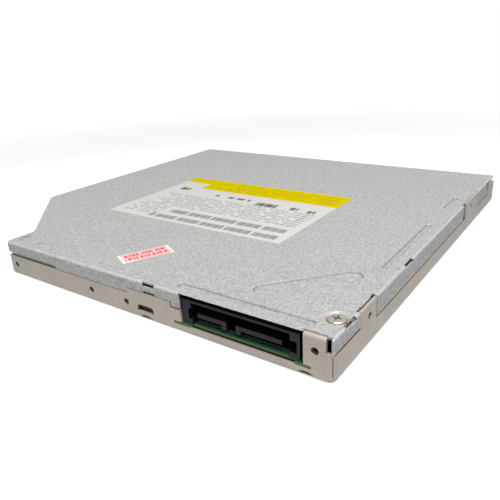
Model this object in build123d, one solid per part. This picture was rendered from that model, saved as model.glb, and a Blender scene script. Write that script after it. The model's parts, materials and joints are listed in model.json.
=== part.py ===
from build123d import *
import os
from math import atan2, degrees, dist, radians, sqrt

# A slim tray-loading disc drive for a portable computer, without its front panel.
# Millimetres, +Z up, the tray opens towards -Y, the rear connector faces +Y.

# Overall size
WIDTH = 128.0
DEPTH = 126.1
HEIGHT = 9.5
COVER_OVERHANG = 27.5
CASE_WIDTH = WIDTH - COVER_OVERHANG
CASE_SHEET = 0.6
COVER_SHEET = 0.5
FIT = 0.1

LEFT = -WIDTH / 2
RIGHT = WIDTH / 2
REAR = DEPTH / 2
FRONT = -DEPTH / 2
COVER_UNDER = HEIGHT - COVER_SHEET

# Outline: the case is narrower than the cover, which steps out past it over the tray's wide side
STEP_X = LEFT + CASE_WIDTH
EAR_LENGTH = 8.85
NOTCH_LENGTH = 34.05
COVER_SETBACK = 2.7
CASE_BEND = 1.0
COVER_BEND = 0.7
CORNER_ROUND = 1.4
FRONT_CORNER_ROUND = 2.0

# Walls of the case and flanges of the cover
WALL_TOP = 4.5
WALL_REAR_TOP = 5.8
INNER_WALL_TOP = 7.8
LIP_TOP = 1.8
FLANGE_BOTTOM = 4.9
WIDE_FLANGE_BOTTOM = 4.0
WIDE_LIP = 2.4
REAR_FLANGE_HIGH = 6.6
REAR_FLANGE_LOW = 5.75
REAR_FLANGE_LATCH = 6.9
REAR_WALL_TOP = 5.6
SEAM = 0.15
HOOK_GAP = 0.35
CORNER_SEAM = 0.15
CORNER_SEAM_Z = (1.2, 5.5)

# Stretches along the rear edge, by x
LOW_FLANGE_START = LEFT + 78.6
LATCH_START = LEFT + 52.1
HOOK_START = LEFT + 38.4
BAY_START = LEFT + 36.0
BAY_END = LEFT + 6.2
BAY_EDGE = 0.1
BAY_WALL_BACK = 3.0
CORNER_CUT = LEFT + 1.6
CORNER_CUT_BOTTOM = 6.35
LUG_FOLD = 0.25
LUG_FOLD_DEPTH = 0.8
LATCH_SLOT_HIGH_X = (LEFT + 46.8, LEFT + 43.2)
LATCH_SLOT_HIGH_Z = (HEIGHT - 1.0, HEIGHT)
LATCH_SLOT_LOW_X = (LEFT + 46.7, LEFT + 43.0)
LATCH_SLOT_LOW_Z = (REAR_FLANGE_LATCH, REAR_FLANGE_LATCH + 0.5)

# Stretches along the narrow side, by y
FLANGE_A_END = REAR - 10.95
TAB_END = REAR - 18.75
TAB_GAP = 0.55
TAB_SLOT = 0.35
TAB_NOTCH = 1.2
TAB_NOTCH_END = TAB_END + 0.9
TAB_NICKS = ((REAR - 12.85, REAR - 12.6), (REAR - 11.6, REAR - 11.35))
FLANGE_TICK = (REAR - 3.75, REAR - 3.55)
FLANGE_TICK_HIGH = 1.0
FLANGE_B_END = REAR - 84.05
FRONT_TAB_START = REAR - 86.55
FRONT_TAB_END = REAR - 101.05
FLANGE_C_END = REAR - 114.05
FLANGE_SLANT = 4.0
FRONT_WALL_TOP = 7.2
FRONT_WALL_HIGH = 8.9
FRONT_RETURN = 2.9
RAIL_WINDOW_RETURN = 1.9
RAIL_WINDOW_TOP = 5.2

# Cut-outs low in the rear wall
WINDOW_X = LEFT + 46.7
WINDOW_Z = (2.0, 3.5)
WINDOW_R = 2.6
CRESCENT_X = (LEFT + 46.7, LEFT + 5.7)
CRESCENT_BOTTOM = 0.55
CRESCENT_TOP = 1.1
CRESCENT_R = 3.2

# Threaded holes for mounting
THREAD_HOLE_R = 0.8
REAR_HOLES_LOW = (LEFT + 96.9, LEFT + 65.2, LEFT + 52.85)
REAR_HOLE_LOW_Z = 3.1
REAR_HOLE_HIGH_X = LEFT + 3.8
REAR_HOLE_HIGH_Z = 6.0
SIDE_HOLE_Y = REAR - 15.45
SIDE_HOLE_Z = 6.75
FRONT_SIDE_HOLE_Y = REAR - 93.55
THREAD_COLLAR_R = 1.5
THREAD_COLLAR_DEPTH = 0.7
HOLE_REACH = 3.0

# Cover screw in its round recess
SCREW_X = LEFT + 3.0
SCREW_Y = REAR - 7.15
SCREW_HEAD_R = 1.85
SCREW_HEAD = 0.7
SCREW_HEAD_ROUND = 0.49
SCREW_CROSS = 1.8
SCREW_CROSS_WIDTH = 0.4
SCREW_CROSS_DEPTH = 0.3
SCREW_SHANK_R = 0.8
SCREW_SHANK = 1.4
RECESS_R = 2.5
RECESS_DEPTH = 0.7
RECESS_SLOPE = 40.0
SCREW_TAB_DEPTH = 11.0

# Slits in the cover's long bend, by y
BEND_SLITS = ((REAR - 9.35, REAR - 4.85), (REAR - 40.15, REAR - 35.45))
BEND_SLIT = 0.7

# Pressed ribs in the cover, each by its two centres
RIB_DEPTH = 0.3
RIB_SLOPE = 30.0
REAR_RIB = ((LEFT + 37.8, REAR - 3.35), (LEFT + 6.4, REAR - 3.35))
REAR_RIB_WIDTH = 2.0
DIAGONAL_RIB = ((LEFT + 21.1, REAR - 10.45), (LEFT + 8.2, REAR - 24.85))
DIAGONAL_RIB_WIDTH = 5.0
SIDE_RIBS = (
    ((LEFT + 3.8, REAR - 32.05), (LEFT + 3.8, REAR - 63.05)),
    ((LEFT + 4.2, REAR - 80.05), (LEFT + 4.2, REAR - 90.05)),
)
SIDE_RIB_WIDTH = 1.6
DIMPLE = (LEFT + 89.0, REAR - 3.55)
DIMPLE_R = 0.8
DIMPLE_DEPTH = 0.15

# Disc and turntable
DISC_X = 1.5
DISC_Y = -1.0
DISC_R = 60.0
DISC_WELL_MARGIN = 0.5
DISC_PLANE = 7.0
DISC_THICKNESS = 1.2
DISC_HOLE_R = 7.5

# Tray
TRAY_BOTTOM = 5.3
TRAY_TOP = 8.7
WELL_FLOOR = 6.6
TRAY_SIDE_GAP = 2.0
TRAY_WIDE_GAP = 0.3
TRAY_STEP_GAP = 0.5
TRAY_NOTCH_GAP = 1.0
TRAY_REAR_GAP = 5.5
TRAY_ROUND = 2.0
TRAY_INNER_ROUND = 3.0
TRAY_FRONT_WALL = 1.35
TRAY_FRONT_GAP = 0.3
TRAY_FRONT_BOTTOM = 1.0
CONNECTOR_RELIEF_X = LEFT + 39.0
CONNECTOR_RELIEF = 14.0
FINGER_ANGLE = -45.0
FINGER_R = 11.0
FINGER_OUT = 5.0
TRAY_OPENING_RIM = 1.2

# Telescopic rails: a guide on the case, a sliding steel rail and the tray's own runner
RAIL_Z = 3.1
GUIDE_HEIGHT = 4.0
GUIDE_WALL = 0.6
GUIDE_BACK = 0.8
GUIDE_OPENING = 1.0
RAIL_FLANGE = 0.6
RAIL_WEB = 0.8
RAIL_LIP = 0.5
GUIDE_DEPTH = 2.1
RAIL_GAP = 0.2
RAIL_END_GAP = 4.0
RAIL_LENGTH = 108.0
INNER_LEFT = LEFT + 2 * CASE_SHEET
INNER_STEP = STEP_X - CASE_SHEET
RUNNER_START = GUIDE_DEPTH + RAIL_GAP
RAIL_FAR = RUNNER_START + RAIL_LIP + FIT
RUNNER_BACK = RAIL_FAR + RAIL_FLANGE + FIT
RAIL_STACK = RUNNER_BACK + GUIDE_BACK
RAIL_START = FRONT + RAIL_END_GAP

# Main board
BOARD_THICKNESS = 0.6
BOARD_TOP = LIP_TOP + BOARD_THICKNESS
BOARD_SETBACK = 1.1
BOARD_FRONT = REAR - 32.05
BOARD_SIDE_GAP = 1.2
BOARD_TAB_X = ((LEFT + 37.9, LEFT + 33.7), (LEFT + 8.0, LEFT + 4.6))
COLLAR_NOTCH = 1.0
BOARD_SCREW_IN = 3.5
BOARD_SCREW_R = 1.6
BOARD_SCREW_HEAD = 0.5
BOARD_BOSS_R = 2.0

# What stands on the main board: places by the centre, then the sizes
CHIP_BEVEL = 0.2
CHIPS = {
    "controller_chip": ((-6.0, BOARD_FRONT + 14.5), (14.0, 14.0, 1.0)),
    "motor_driver_chip": ((14.5, BOARD_FRONT + 10.0), (8.0, 9.0, 0.9)),
    "memory_chip": ((-22.0, BOARD_FRONT + 10.0), (10.0, 6.0, 0.9)),
}
CAPACITOR_FIRST = (22.0, BOARD_FRONT + 6.5)
CAPACITOR_SIZE = (2.4, 1.6, 1.2)
CAPACITOR_PITCH = 2.6
CAPACITOR_COUNT = 5
OSCILLATOR_PLACE = (6.5, BOARD_FRONT + 24.0)
OSCILLATOR_SIZE = (5.0, 3.2, 0.9)
OSCILLATOR_ROUND = 0.8

# Flat cable between the main board and the tray, folded once
FLEX_X = (-34.0, -22.0)
FLEX = 0.15
FLEX_FOLD_Y = -31.0
FLEX_LAYER = 0.4
FLEX_RISE = 1.0
FLEX_LAP = 2.0
SOCKET_WALL = 1.2
SOCKET_HEIGHT = 1.2
SOCKET_FRONT = 0.6
SOCKET_BACK = 5.0
SOCKET_SLOT_END = 4.0
SOCKET_SLOT_Z = 0.35
FLEX_PLUG_END = 3.6
FLEX_LOW_START = 2.2
FLEX_HIGH_END = 5.6

# Rear connector
PLUG_LEFT = LEFT + 36.0
PLUG_RIGHT = LEFT + 7.25
PLUG_TOP = 8.05
PLUG_FRONT_GAP = 0.75
PLUG_LENGTH = 10.9
PLUG_ROOF = 0.55
PLUG_BACK = 3.4
PLUG_SHELF = 6.1
PLUG_FLOOR = 0.35
PLUG_FLOOR_SETBACK = 1.7
PLUG_WIDE_SIDES = (2.55, 2.15)
PLUG_NARROW_SIDES = (1.8, 0.65)
PLUG_FEET_SIDES = (2.75, 2.25)
PLUG_FOOT_HEIGHT = 1.2
PLUG_FOOT_DEPTH = 2.0
POWER_TONGUE = (LEFT + 32.35, LEFT + 24.7)
SIGNAL_TONGUE = (LEFT + 22.35, LEFT + 11.55)
TONGUE_TOP = 5.05
TONGUE = 1.0
TONGUE_FOOT = 1.2
TONGUE_FOOT_DROP = 1.0
TONGUE_SETBACK = 0.6
CONTACT_PITCH = 1.27
POWER_CONTACTS = 5
SIGNAL_CONTACTS = 7
CONTACT_WIDTH = 0.7
CONTACT_SHEET = 0.15
CONTACT_SETBACK = 0.5

# Traverse, in its own frame: x runs outwards along the lens's travel
FEED_ANGLE = 225.0
TRAVERSE = Pos(DISC_X, DISC_Y, 0) * Rot(0, 0, FEED_ANGLE)
LENS_INNER = 22.0
CHASSIS_Z = 4.2
CHASSIS_SHEET = 0.8
CHASSIS_TOP = CHASSIS_Z + CHASSIS_SHEET
CHASSIS_INNER_X = -15.0
CHASSIS_OUTER_X = 66.5
CHASSIS_NEAR_Y = 20.5
CHASSIS_FAR_Y = -25.5
CHASSIS_CHAMFER = 6.0
CHASSIS_FAR_CHAMFER = 9.5
CHASSIS_END_HALF = 14.0
CHASSIS_WINDOW_X = (14.0, 64.0)
CHASSIS_WINDOW_HALF = 15.5
WINDOW_ROUND = 2.0
SHAFT_R = 1.0
SHAFT_Y = 18.0
SHAFT_Z = 2.9
SHAFT_START = 11.0
SHAFT_END = 61.5
HOLDER = 1.5
HOLDER_HALF = 2.0
HOLDER_UNDER = 0.6

# Spindle motor
ROTOR_R = 11.5
ROTOR_TOP = 6.4
ROTOR_BOTTOM = 4.4
ROTOR_WALL = 0.6
ROTOR_CLEARANCE = 0.6
HUB_TOP = 8.5
HUB_CHAMFER = 0.8
HUB_RADIUS = DISC_HOLE_R - FIT
SPINDLE_R = 1.0
SPINDLE_ENDS = (0.6, 0.2)
BEARING_R = 3.0
BEARING_BOTTOM = 1.3
BEARING_SEAT = 0.5
BEARING_RISE = 0.9
BEARING_BOSS = 0.8
SPINDLE_CLEARANCE = 0.02
BASE_RIM = 1.0
BASE_EAR_ANGLES = (100, 180, 260)
BASE_EAR_OUT = 1.6
BASE_EAR_R = 2.2
STATOR_GAP = 0.2
STATOR_CORE_R = 5.2
STATOR_FOOT_R = 4.4
POLE_COUNT = 9
POLE_X = (4.5, 9.2)
POLE_HALF = 0.7
POLE_TIP_R = (8.9, 9.8)
POLE_TIP_HALF = 2.4
MAGNET_WALL = 0.8
RING_EDGE = 0.3
RING_WIDTH = 2.0

# Claws that hold the disc on the hub
CLAW_COUNT = 3
CLAW_WIDTH = 2.6
CLAW_POCKET_R = 2.4
CLAW_POCKET_FLOOR = 0.5
CLAW_POCKET_ROOF = 0.3
CLAW_INNER_R = 3.2
CLAW_SHOULDER = 0.35
CLAW_NOSE = 0.25
CLAW_NOSE_RISE = 0.15

# Feed: motor, lead screw and the follower on the pickup
SCREW_LINE_Y = -22.5
SCREW_LINE_Z = 2.7
LEAD_SCREW_R = 0.9
LEAD_SCREW_END = 57.0
LEAD_SCREW_SEAT = 2.0
LEAD_SCREW_ENDS = (0.2, 0.3)
FEED_MOTOR_START = -14.0
FEED_MOTOR_END = -3.0
FEED_MOTOR_SIZE = (6.4, 3.0)
PIVOT_HALF = 1.8
PIVOT_UNDER = 1.4
FOLLOWER_LENGTH = 5.0
FOLLOWER_SIDE = 1.6
FOLLOWER_Z = (SCREW_LINE_Z - 1.2, SCREW_LINE_Z + 1.3)

# Grommets that carry the traverse under the tray
DAMPER_R = 2.3
DAMPER_HOLE_R = 1.5
DAMPER_UNDER = 0.7
DAMPER_EAR = 1.0
DAMPER_SCREW_HEAD_R = 1.7
DAMPER_SCREW_HEAD = 0.5
DAMPER_SCREW_GRIP = 0.9
DAMPER_PLACES = (
    (CHASSIS_INNER_X + 4.0, CHASSIS_FAR_Y + 9.5),
    (CHASSIS_INNER_X + 4.5, CHASSIS_NEAR_Y - 8.0),
    (CHASSIS_OUTER_X - 24.0, CHASSIS_NEAR_Y + 2.3),
    (CHASSIS_OUTER_X - 30.0, CHASSIS_FAR_Y - 1.5),
)

# Pickup: its sled, then the lens and its holder in the middle
SLED_X = (LENS_INNER - 8.0, LENS_INNER + 7.0)
SLED_INNER_HALF = 14.8
SLED_OUTER_HALF = 11.0
SLED_ROUND = 1.5
SLED_OUTER_ROUND = 2.5
SLED_BOTTOM = 1.45
SLED_DECK = CHASSIS_Z - FIT
SLED_TOP = 5.7
SLED_UPPER_X = (LENS_INNER - 6.0, LENS_INNER + 5.0)
SLED_UPPER_HALF = 9.0
SLED_ARM_HALF = 1.9
SLED_ARM_END = LENS_INNER + 1.5
SLED_ARM_INNER = 13.0
SLED_ARM_UNDER = 1.4
SLED_ROTOR_GAP = 1.6
SLED_POCKET = (4.2, 6.5)
YOKE_SIZE = (4.1, 6.4)
YOKE_FLOOR = 0.3
YOKE_WALL = 0.3
YOKE_WALL_HALF = 3.0
YOKE_TOP = 5.6
LENS_HOLDER_SIZE = (3.5, 5.5)
LENS_HOLDER_Z = (4.9, 5.9)
LENS_HOLDER_ROUND = 1.0
LENS_RIM_R = 2.6
LENS_RIM_TOP = 6.15
LENS_R = 1.9
LENS_BOTTOM = 5.3
LENS_TOP = 6.25
LENS_CROWN = 4.2

# Cover over the traverse
PLATE_SHEET = 0.4
PLATE_BEHIND = 1.7
PLATE_BESIDE = 3.5
PLATE_X = (-ROTOR_R - PLATE_BEHIND, 65.5)
PLATE_HALF = ROTOR_R + PLATE_BESIDE
PLATE_END_HALF = 12.5
PLATE_INNER_ROUND = 6.0
PLATE_ROUND = 4.0
PLATE_SLOT_X = (5.0, 63.8)
PLATE_SLOT_HALF = 9.6

# Lock between tray and case
LOCK_PIN_X = STEP_X - 8.0
LOCK_PIN_Y = FRONT + 11.05
LOCK_PIN_R = 1.0
LOCK_PIN_TOP = 4.0
LEVER_X = STEP_X - 13.0
LEVER_Y = FRONT + 21.55
LEVER_SWING = 16.0
LEVER_Z = 3.2
LEVER_SHEET = 0.8
LEVER_BOSS_R = 1.8
LEVER_BOSS_UNDER = 0.3
LEVER_TAIL = 6.2
LEVER_ARM = ((1.6, 0.6), (-1.6, 1.4), (-7.4, -1.2), (-7.4, -3.0), (-4.6, -3.0), (-1.2, -2.0))
LEVER_NOSE = ((-3.4, 2.4), (-2.6, 1.6), (0.9, 2.0), (0.9, 3.4), (-1.0, 3.6))
LEVER_PIN_R = 0.8
LEVER_PIN_HEAD_R = 1.5
LEVER_PIN_HEAD_Z = (LEVER_Z - 0.9, LEVER_Z - 0.4)
LEVER_PIN_GRIP = 0.8
SOLENOID_X = LEVER_X - LEVER_TAIL
SOLENOID_FRONT = LEVER_Y + 4.0
SOLENOID_LENGTH = 11.0
SOLENOID_HALF = 3.6
SOLENOID_SHEET = 0.8
SOLENOID_ROOF = 0.5
SOLENOID_BOTTOM = 1.5
SOLENOID_Z = 3.4
COIL_R = 1.7
PLUNGER_R = 0.8
PLUNGER_BACK = 7.5
PLUNGER_OUT = 0.7
BORE_END = 2.0

# Front switch and lamp, in a pocket of the tray's front corner
SWITCH_X = RIGHT - 12.0
SWITCH_Z = 6.3
SWITCH_SIZE = (4.6, 2.0)
SWITCH_Y = (1.2, 4.4)
SWITCH_BORE_END = 3.0
SWITCH_HOLE_R = 1.1
SWITCH_HEAD_R = 1.0
SWITCH_HEAD_END = 0.6
SWITCH_STEM_R = 0.65
SWITCH_STEM_END = 2.4
LAMP_X = SWITCH_X - 4.4
LAMP_SIZE = (2.2, 1.6)
LAMP_Y = (0.8, 2.4)
LAMP_LENS_R = 0.6
LAMP_LENS_OUT = 0.5
LAMP_HOLE_R = 0.8
RELEASE_X = SWITCH_X + 4.4
RELEASE_R = 0.6
POCKET_HALF = 6.5
POCKET_END = 10.0
POCKET_TOP = 7.8
FRONT_BOARD_HALF = 7.5
FRONT_BOARD_DEPTH = 9.6
FRONT_BOARD = 0.6

# Eject slider that pushes the released tray off the rear wall
EJECT_X = STEP_X - 12.0
EJECT_Z = 4.7
EJECT_ROD_R = 0.45
EJECT_ROD_REACH = 13.0
EJECT_HEAD = 1.2
EJECT_HEAD_HALF = 2.0
EJECT_HEAD_THICK = 1.1
EJECT_REAR_GAP = 0.3
EJECT_LUG_HALF = 1.3
EJECT_LUG_UNDER = 0.65
EJECT_LUG = 2.0
EJECT_LUG_PITCH = 10.0

# Paper on the cover
PAPER = 0.05
LABEL_X = (-32.0, 32.0)
LABEL_Y = (-14.0, 29.7)
STRIPE_Y = (-13.9, -2.8)
STRIPE_X = (-32.0, 20.9)
STRIPE_END = 32.0
SEAL_LENGTH = 13.2
SEAL_WIDTH = 5.5
SEAL_X = -6.35
SEAL_Y = 51.0
SEAL_ANGLE = 64.0


def block(x_pair, y_pair, z_pair):
    """Return a straight block between two corners."""
    spans = [sorted(pair) for pair in (x_pair, y_pair, z_pair)]
    size = [high - low for low, high in spans]
    middle = [(high + low) / 2 for low, high in spans]
    return Pos(*middle) * Box(*size)


def plate(outline, bottom, top):
    """Return a flat outline as a plate between two heights."""
    return Pos(0, 0, bottom) * extrude(outline, top - bottom)


def post(x, y, radius, bottom, top):
    """Return an upright round post."""
    return Pos(x, y, (bottom + top) / 2) * Cylinder(radius, top - bottom)


def rod(start, end, radius):
    """Return a straight round rod between two points."""
    line = Vector(*end) - Vector(*start)
    disc = Plane(origin=start, z_dir=line) * Circle(radius)
    return extrude(disc, line.length)


def outline_of(points, rounds=()):
    """Return a closed outline, with some corners rounded by (index, radius)."""
    face = make_face(Polyline(*points, close=True))
    for index, radius in rounds:
        corner = face.vertices().sort_by_distance((*points[index], 0))[0]
        face = fillet(corner, radius)
    return face


def grown(face, amount):
    """Return an outline offset by an amount, with sharp corners."""
    return offset(face, amount, kind=Kind.INTERSECTION)


def ring_wall(outline, thickness, bottom, top):
    """Return the wall that follows an outline on its inner side."""
    return plate(outline, bottom, top) - plate(grown(outline, -thickness), bottom, top)


def capsule(start, end, width):
    """Return a slot outline between two centres."""
    angle = degrees(atan2(end[1] - start[1], end[0] - start[0]))
    middle = ((start[0] + end[0]) / 2, (start[1] + end[1]) / 2)
    return Pos(*middle) * Rot(0, 0, angle) * SlotCenterToCenter(dist(start, end), width)


# Bottom case

def case_outline():
    """Return the outline of the bottom case, whose front corner on the rail side is rounded."""
    points = [(LEFT, FRONT), (STEP_X, FRONT), (STEP_X, REAR), (LEFT, REAR)]
    return outline_of(points, ((0, FRONT_CORNER_ROUND), (2, CORNER_ROUND), (3, CORNER_ROUND)))


def case_walls(outline):
    """Return the joggled wall: a lower wall on the outline and an upper one a sheet further in."""
    lower = ring_wall(outline, CASE_SHEET, 0, WALL_TOP)
    inner = grown(outline, -CASE_SHEET)
    upper = ring_wall(inner, CASE_SHEET, WALL_TOP - CASE_SHEET, INNER_WALL_TOP)
    side_x = (LEFT, LEFT + CASE_SHEET)
    tabs_area = block(side_x, (TAB_END, FLANGE_A_END - FIT), (WALL_TOP, HEIGHT - FIT))
    tabs_area += block(side_x, (FRONT_TAB_START, FRONT_TAB_END), (WALL_TOP, HEIGHT - FIT))
    tabs_area += block(side_x, (FLANGE_A_END - FIT, REAR), (WALL_TOP, WALL_REAR_TOP))
    tabs_area += front_corner_area()
    tabs = ring_wall(outline, CASE_SHEET, WALL_TOP - CASE_SHEET, HEIGHT - FIT) & tabs_area
    return lower + upper + tabs + rear_wall(outline) + front_ledge(outline)


def rear_wall(outline):
    """Return the stretches of the rear wall that rise past the lower wall."""
    sheet_y = (REAR - CASE_SHEET, REAR)
    wall = block((STEP_X, BAY_START), sheet_y, (WALL_TOP, REAR_WALL_TOP))
    wall += block((LATCH_START, BAY_START), sheet_y, (WALL_TOP, REAR_FLANGE_LATCH - SEAM))
    wall -= block((HOOK_START + HOOK_GAP, BAY_START), sheet_y, (REAR_FLANGE_LOW - HOOK_GAP, HEIGHT))
    wall += block((CORNER_CUT, LEFT), sheet_y, (WALL_TOP, CORNER_CUT_BOTTOM))
    return wall & ring_wall(outline, CASE_SHEET, 0, HEIGHT)


def front_corner_area():
    """Return where the narrow side's wall rises in front of the cover, sloping down to the corner."""
    start = FLANGE_C_END - FLANGE_SLANT / 2 - FIT
    slope = make_face(Polyline(
        (start, WALL_TOP), (start, FRONT_WALL_HIGH), (start - COVER_SETBACK * 2, FRONT_WALL_TOP),
        (FRONT, FRONT_WALL_TOP), (FRONT, WALL_TOP), close=True))
    return extrude(Plane(origin=(LEFT, 0, 0), x_dir=(0, 1, 0), z_dir=(1, 0, 0)) * slope, FRONT_RETURN)


def front_ledge(outline):
    """Return the ledge folded in at the front corner, beside the tray."""
    area = block((LEFT, LEFT + FRONT_RETURN), (FRONT, FRONT + 2 * COVER_SETBACK), (0, HEIGHT))
    return plate(outline, FRONT_WALL_TOP - CASE_SHEET, FRONT_WALL_TOP) & area


def case_cuts():
    """Return everything that is cut out of the case's walls."""
    deep = 4 * CASE_SHEET
    front_y = (FRONT, FRONT + COVER_SETBACK)
    cuts = block((LEFT + FRONT_RETURN, STEP_X), front_y, (CASE_SHEET, HEIGHT))
    window_x = (LEFT + RAIL_WINDOW_RETURN, LEFT + FRONT_RETURN)
    cuts += block(window_x, front_y, (CASE_SHEET, RAIL_WINDOW_TOP))
    return_y = (FRONT, FRONT + 2 * COVER_SETBACK)
    cuts += block((LEFT, LEFT + FRONT_RETURN), return_y, (FRONT_WALL_TOP, HEIGHT))
    step_y = (FRONT, REAR - EAR_LENGTH)
    cuts += block((STEP_X - deep, STEP_X), step_y, (WIDE_FLANGE_BOTTOM - SEAM, HEIGHT))
    cuts += block((STEP_X - deep, INNER_STEP), step_y, (CASE_SHEET, HEIGHT))
    cuts += post(SCREW_X, SCREW_Y, RECESS_R + CASE_SHEET, COVER_UNDER - RECESS_DEPTH - FIT, HEIGHT)
    cuts += block((LEFT + CASE_SHEET, INNER_LEFT), (TAB_END - 2 * TAB_GAP, FLANGE_A_END + TAB_GAP),
                  (WALL_TOP, HEIGHT))
    return cuts + bay_cuts(deep) + corner_seam()


def bay_cuts(deep):
    """Return what is cut out of the rear wall round the connector and the board's tabs."""
    wall_y = (REAR - deep, REAR)
    inner_y = (REAR - deep, REAR - CASE_SHEET)
    tab_x = (max(BOARD_TAB_X[0]) + FIT, min(BOARD_TAB_X[1]) - FIT)
    cuts = block((BAY_START - FIT, BAY_END), wall_y, (LIP_TOP, HEIGHT))
    cuts += block(tab_x, wall_y, (LIP_TOP, BOARD_TOP + FIT))
    cuts += block((CORNER_CUT, LEFT), wall_y, (CORNER_CUT_BOTTOM, HEIGHT))
    cuts += block((BAY_START + BAY_WALL_BACK, BAY_START - FIT), inner_y, (WALL_TOP - CASE_SHEET, HEIGHT))
    cuts += block((BAY_END, LEFT + CASE_SHEET), inner_y, (CASE_SHEET, HEIGHT))
    return cuts


def corner_seam():
    """Return the fine slit where the rear and side walls meet at the corner."""
    apex = CORNER_ROUND * (1 - sqrt(0.5))
    low, high = CORNER_SEAM_Z
    slit = Box(CORNER_SEAM, CASE_SHEET, high - low)
    return Pos(LEFT + apex, REAR - apex, (low + high) / 2) * Rot(0, 0, FEED_ANGLE - 180) * slit


def screw_tab():
    """Return the lug beside the connector, bent in under the cover and pressed down round its screw."""
    wall = block((BAY_END, CORNER_CUT), (REAR - CASE_SHEET, REAR), (CASE_SHEET, COVER_UNDER))
    ledge = block((BAY_END, LEFT + CASE_SHEET), (REAR, REAR - SCREW_TAB_DEPTH),
                  (COVER_UNDER - CASE_SHEET, COVER_UNDER))
    ledge -= block((CORNER_CUT, LEFT), (REAR, REAR - 2 * CASE_SHEET), (0, HEIGHT))
    fold_z = (COVER_UNDER, COVER_UNDER + LUG_FOLD)
    fold = block((BAY_END, CORNER_CUT), (REAR, REAR - LUG_FOLD_DEPTH), fold_z)
    bend = wall + ledge + fold
    edge = bend.edges().filter_by(Axis.X).group_by(Axis.Z)[-1].sort_by(Axis.Y)[-1]
    bend = fillet(edge, CASE_SHEET)
    floor = COVER_UNDER - RECESS_DEPTH
    cup = post(SCREW_X, SCREW_Y, RECESS_R + CASE_SHEET, floor - CASE_SHEET, COVER_UNDER - CASE_SHEET)
    cup -= block((LEFT - RECESS_R, LEFT + CASE_SHEET), (REAR, FRONT), (0, HEIGHT))
    bend = bend + cup - post(SCREW_X, SCREW_Y, RECESS_R + FIT, floor, COVER_UNDER)
    bend -= post(SCREW_X, SCREW_Y, SCREW_SHANK_R + FIT, 0, HEIGHT)
    bend -= plate(grown(rear_rib(), FIT), COVER_UNDER - RIB_DEPTH, COVER_UNDER)
    return bend - block(BOARD_TAB_X[1], (REAR, REAR - CASE_SHEET), (LIP_TOP, BOARD_TOP + FIT))


def threaded_collar(start, direction):
    """Return a formed collar behind a mounting hole, and the hole through it."""
    begin = Vector(*start)
    way = Vector(*direction)
    collar = rod(tuple(begin), tuple(begin + way * (CASE_SHEET + THREAD_COLLAR_DEPTH)), THREAD_COLLAR_R)
    hole = rod(tuple(begin - way), tuple(begin + way * HOLE_REACH), THREAD_HOLE_R)
    return collar, hole


def mounting_holes():
    """Return the start and the inward direction of each mounting hole."""
    rear = [((x, REAR, REAR_HOLE_LOW_Z), (0, -1, 0)) for x in REAR_HOLES_LOW]
    rear.append(((REAR_HOLE_HIGH_X, REAR, REAR_HOLE_HIGH_Z), (0, -1, 0)))
    side = [((LEFT, SIDE_HOLE_Y, SIDE_HOLE_Z), (1, 0, 0))]
    side.append(((LEFT, FRONT_SIDE_HOLE_Y, SIDE_HOLE_Z), (1, 0, 0)))
    return rear + side


def half_moon_window():
    """Return the half-round window in the rear wall, flat at its foot."""
    disc = Plane(origin=(WINDOW_X, REAR, WINDOW_Z[0]), z_dir=(0, 1, 0)) * Circle(WINDOW_R)
    area = block((WINDOW_X - WINDOW_R, WINDOW_X + WINDOW_R), (REAR - 2 * CASE_SHEET, REAR), WINDOW_Z)
    return extrude(disc, -2 * CASE_SHEET) & area


def crescent(centre_x):
    """Return a shallow crescent cut where the rear wall meets the floor."""
    disc = Plane(origin=(centre_x, REAR, CRESCENT_TOP - CRESCENT_R), z_dir=(0, 1, 0)) * Circle(CRESCENT_R)
    area = block((centre_x - CRESCENT_R, centre_x + CRESCENT_R), (REAR - 2 * CASE_SHEET, REAR),
                 (CRESCENT_BOTTOM, CRESCENT_TOP))
    return extrude(disc, -2 * CASE_SHEET) & area


def make_bottom_case():
    """Return the folded bottom case with its holes and lugs."""
    outline = case_outline()
    floor = plate(outline, 0, CASE_SHEET)
    case = floor + case_walls(outline)
    bottom_edges = case.faces().sort_by(Axis.Z)[0].edges()
    case = fillet(bottom_edges, CASE_BEND)
    case = case - case_cuts() + screw_tab()
    for boss in board_bosses():
        case += boss
    for start, direction in mounting_holes():
        collar, hole = threaded_collar(start, direction)
        case = case + collar - hole
    case -= half_moon_window()
    for centre_x in CRESCENT_X:
        case -= crescent(centre_x)
    return case


# Top cover

def cover_outline():
    """Return the outline of the cover with its stepped corner."""
    front = FRONT + COVER_SETBACK
    notch, ear = (RIGHT, REAR - NOTCH_LENGTH), (STEP_X, REAR - EAR_LENGTH)
    corner = (STEP_X, REAR)
    points = [(LEFT, front), (RIGHT, front), notch, ear, corner, (LEFT, REAR)]
    rounds = (
        (points.index(notch), FRONT_CORNER_ROUND),
        (points.index(ear), FRONT_CORNER_ROUND),
        (points.index(corner), CORNER_ROUND),
    )
    return outline_of(points, rounds)


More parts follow.
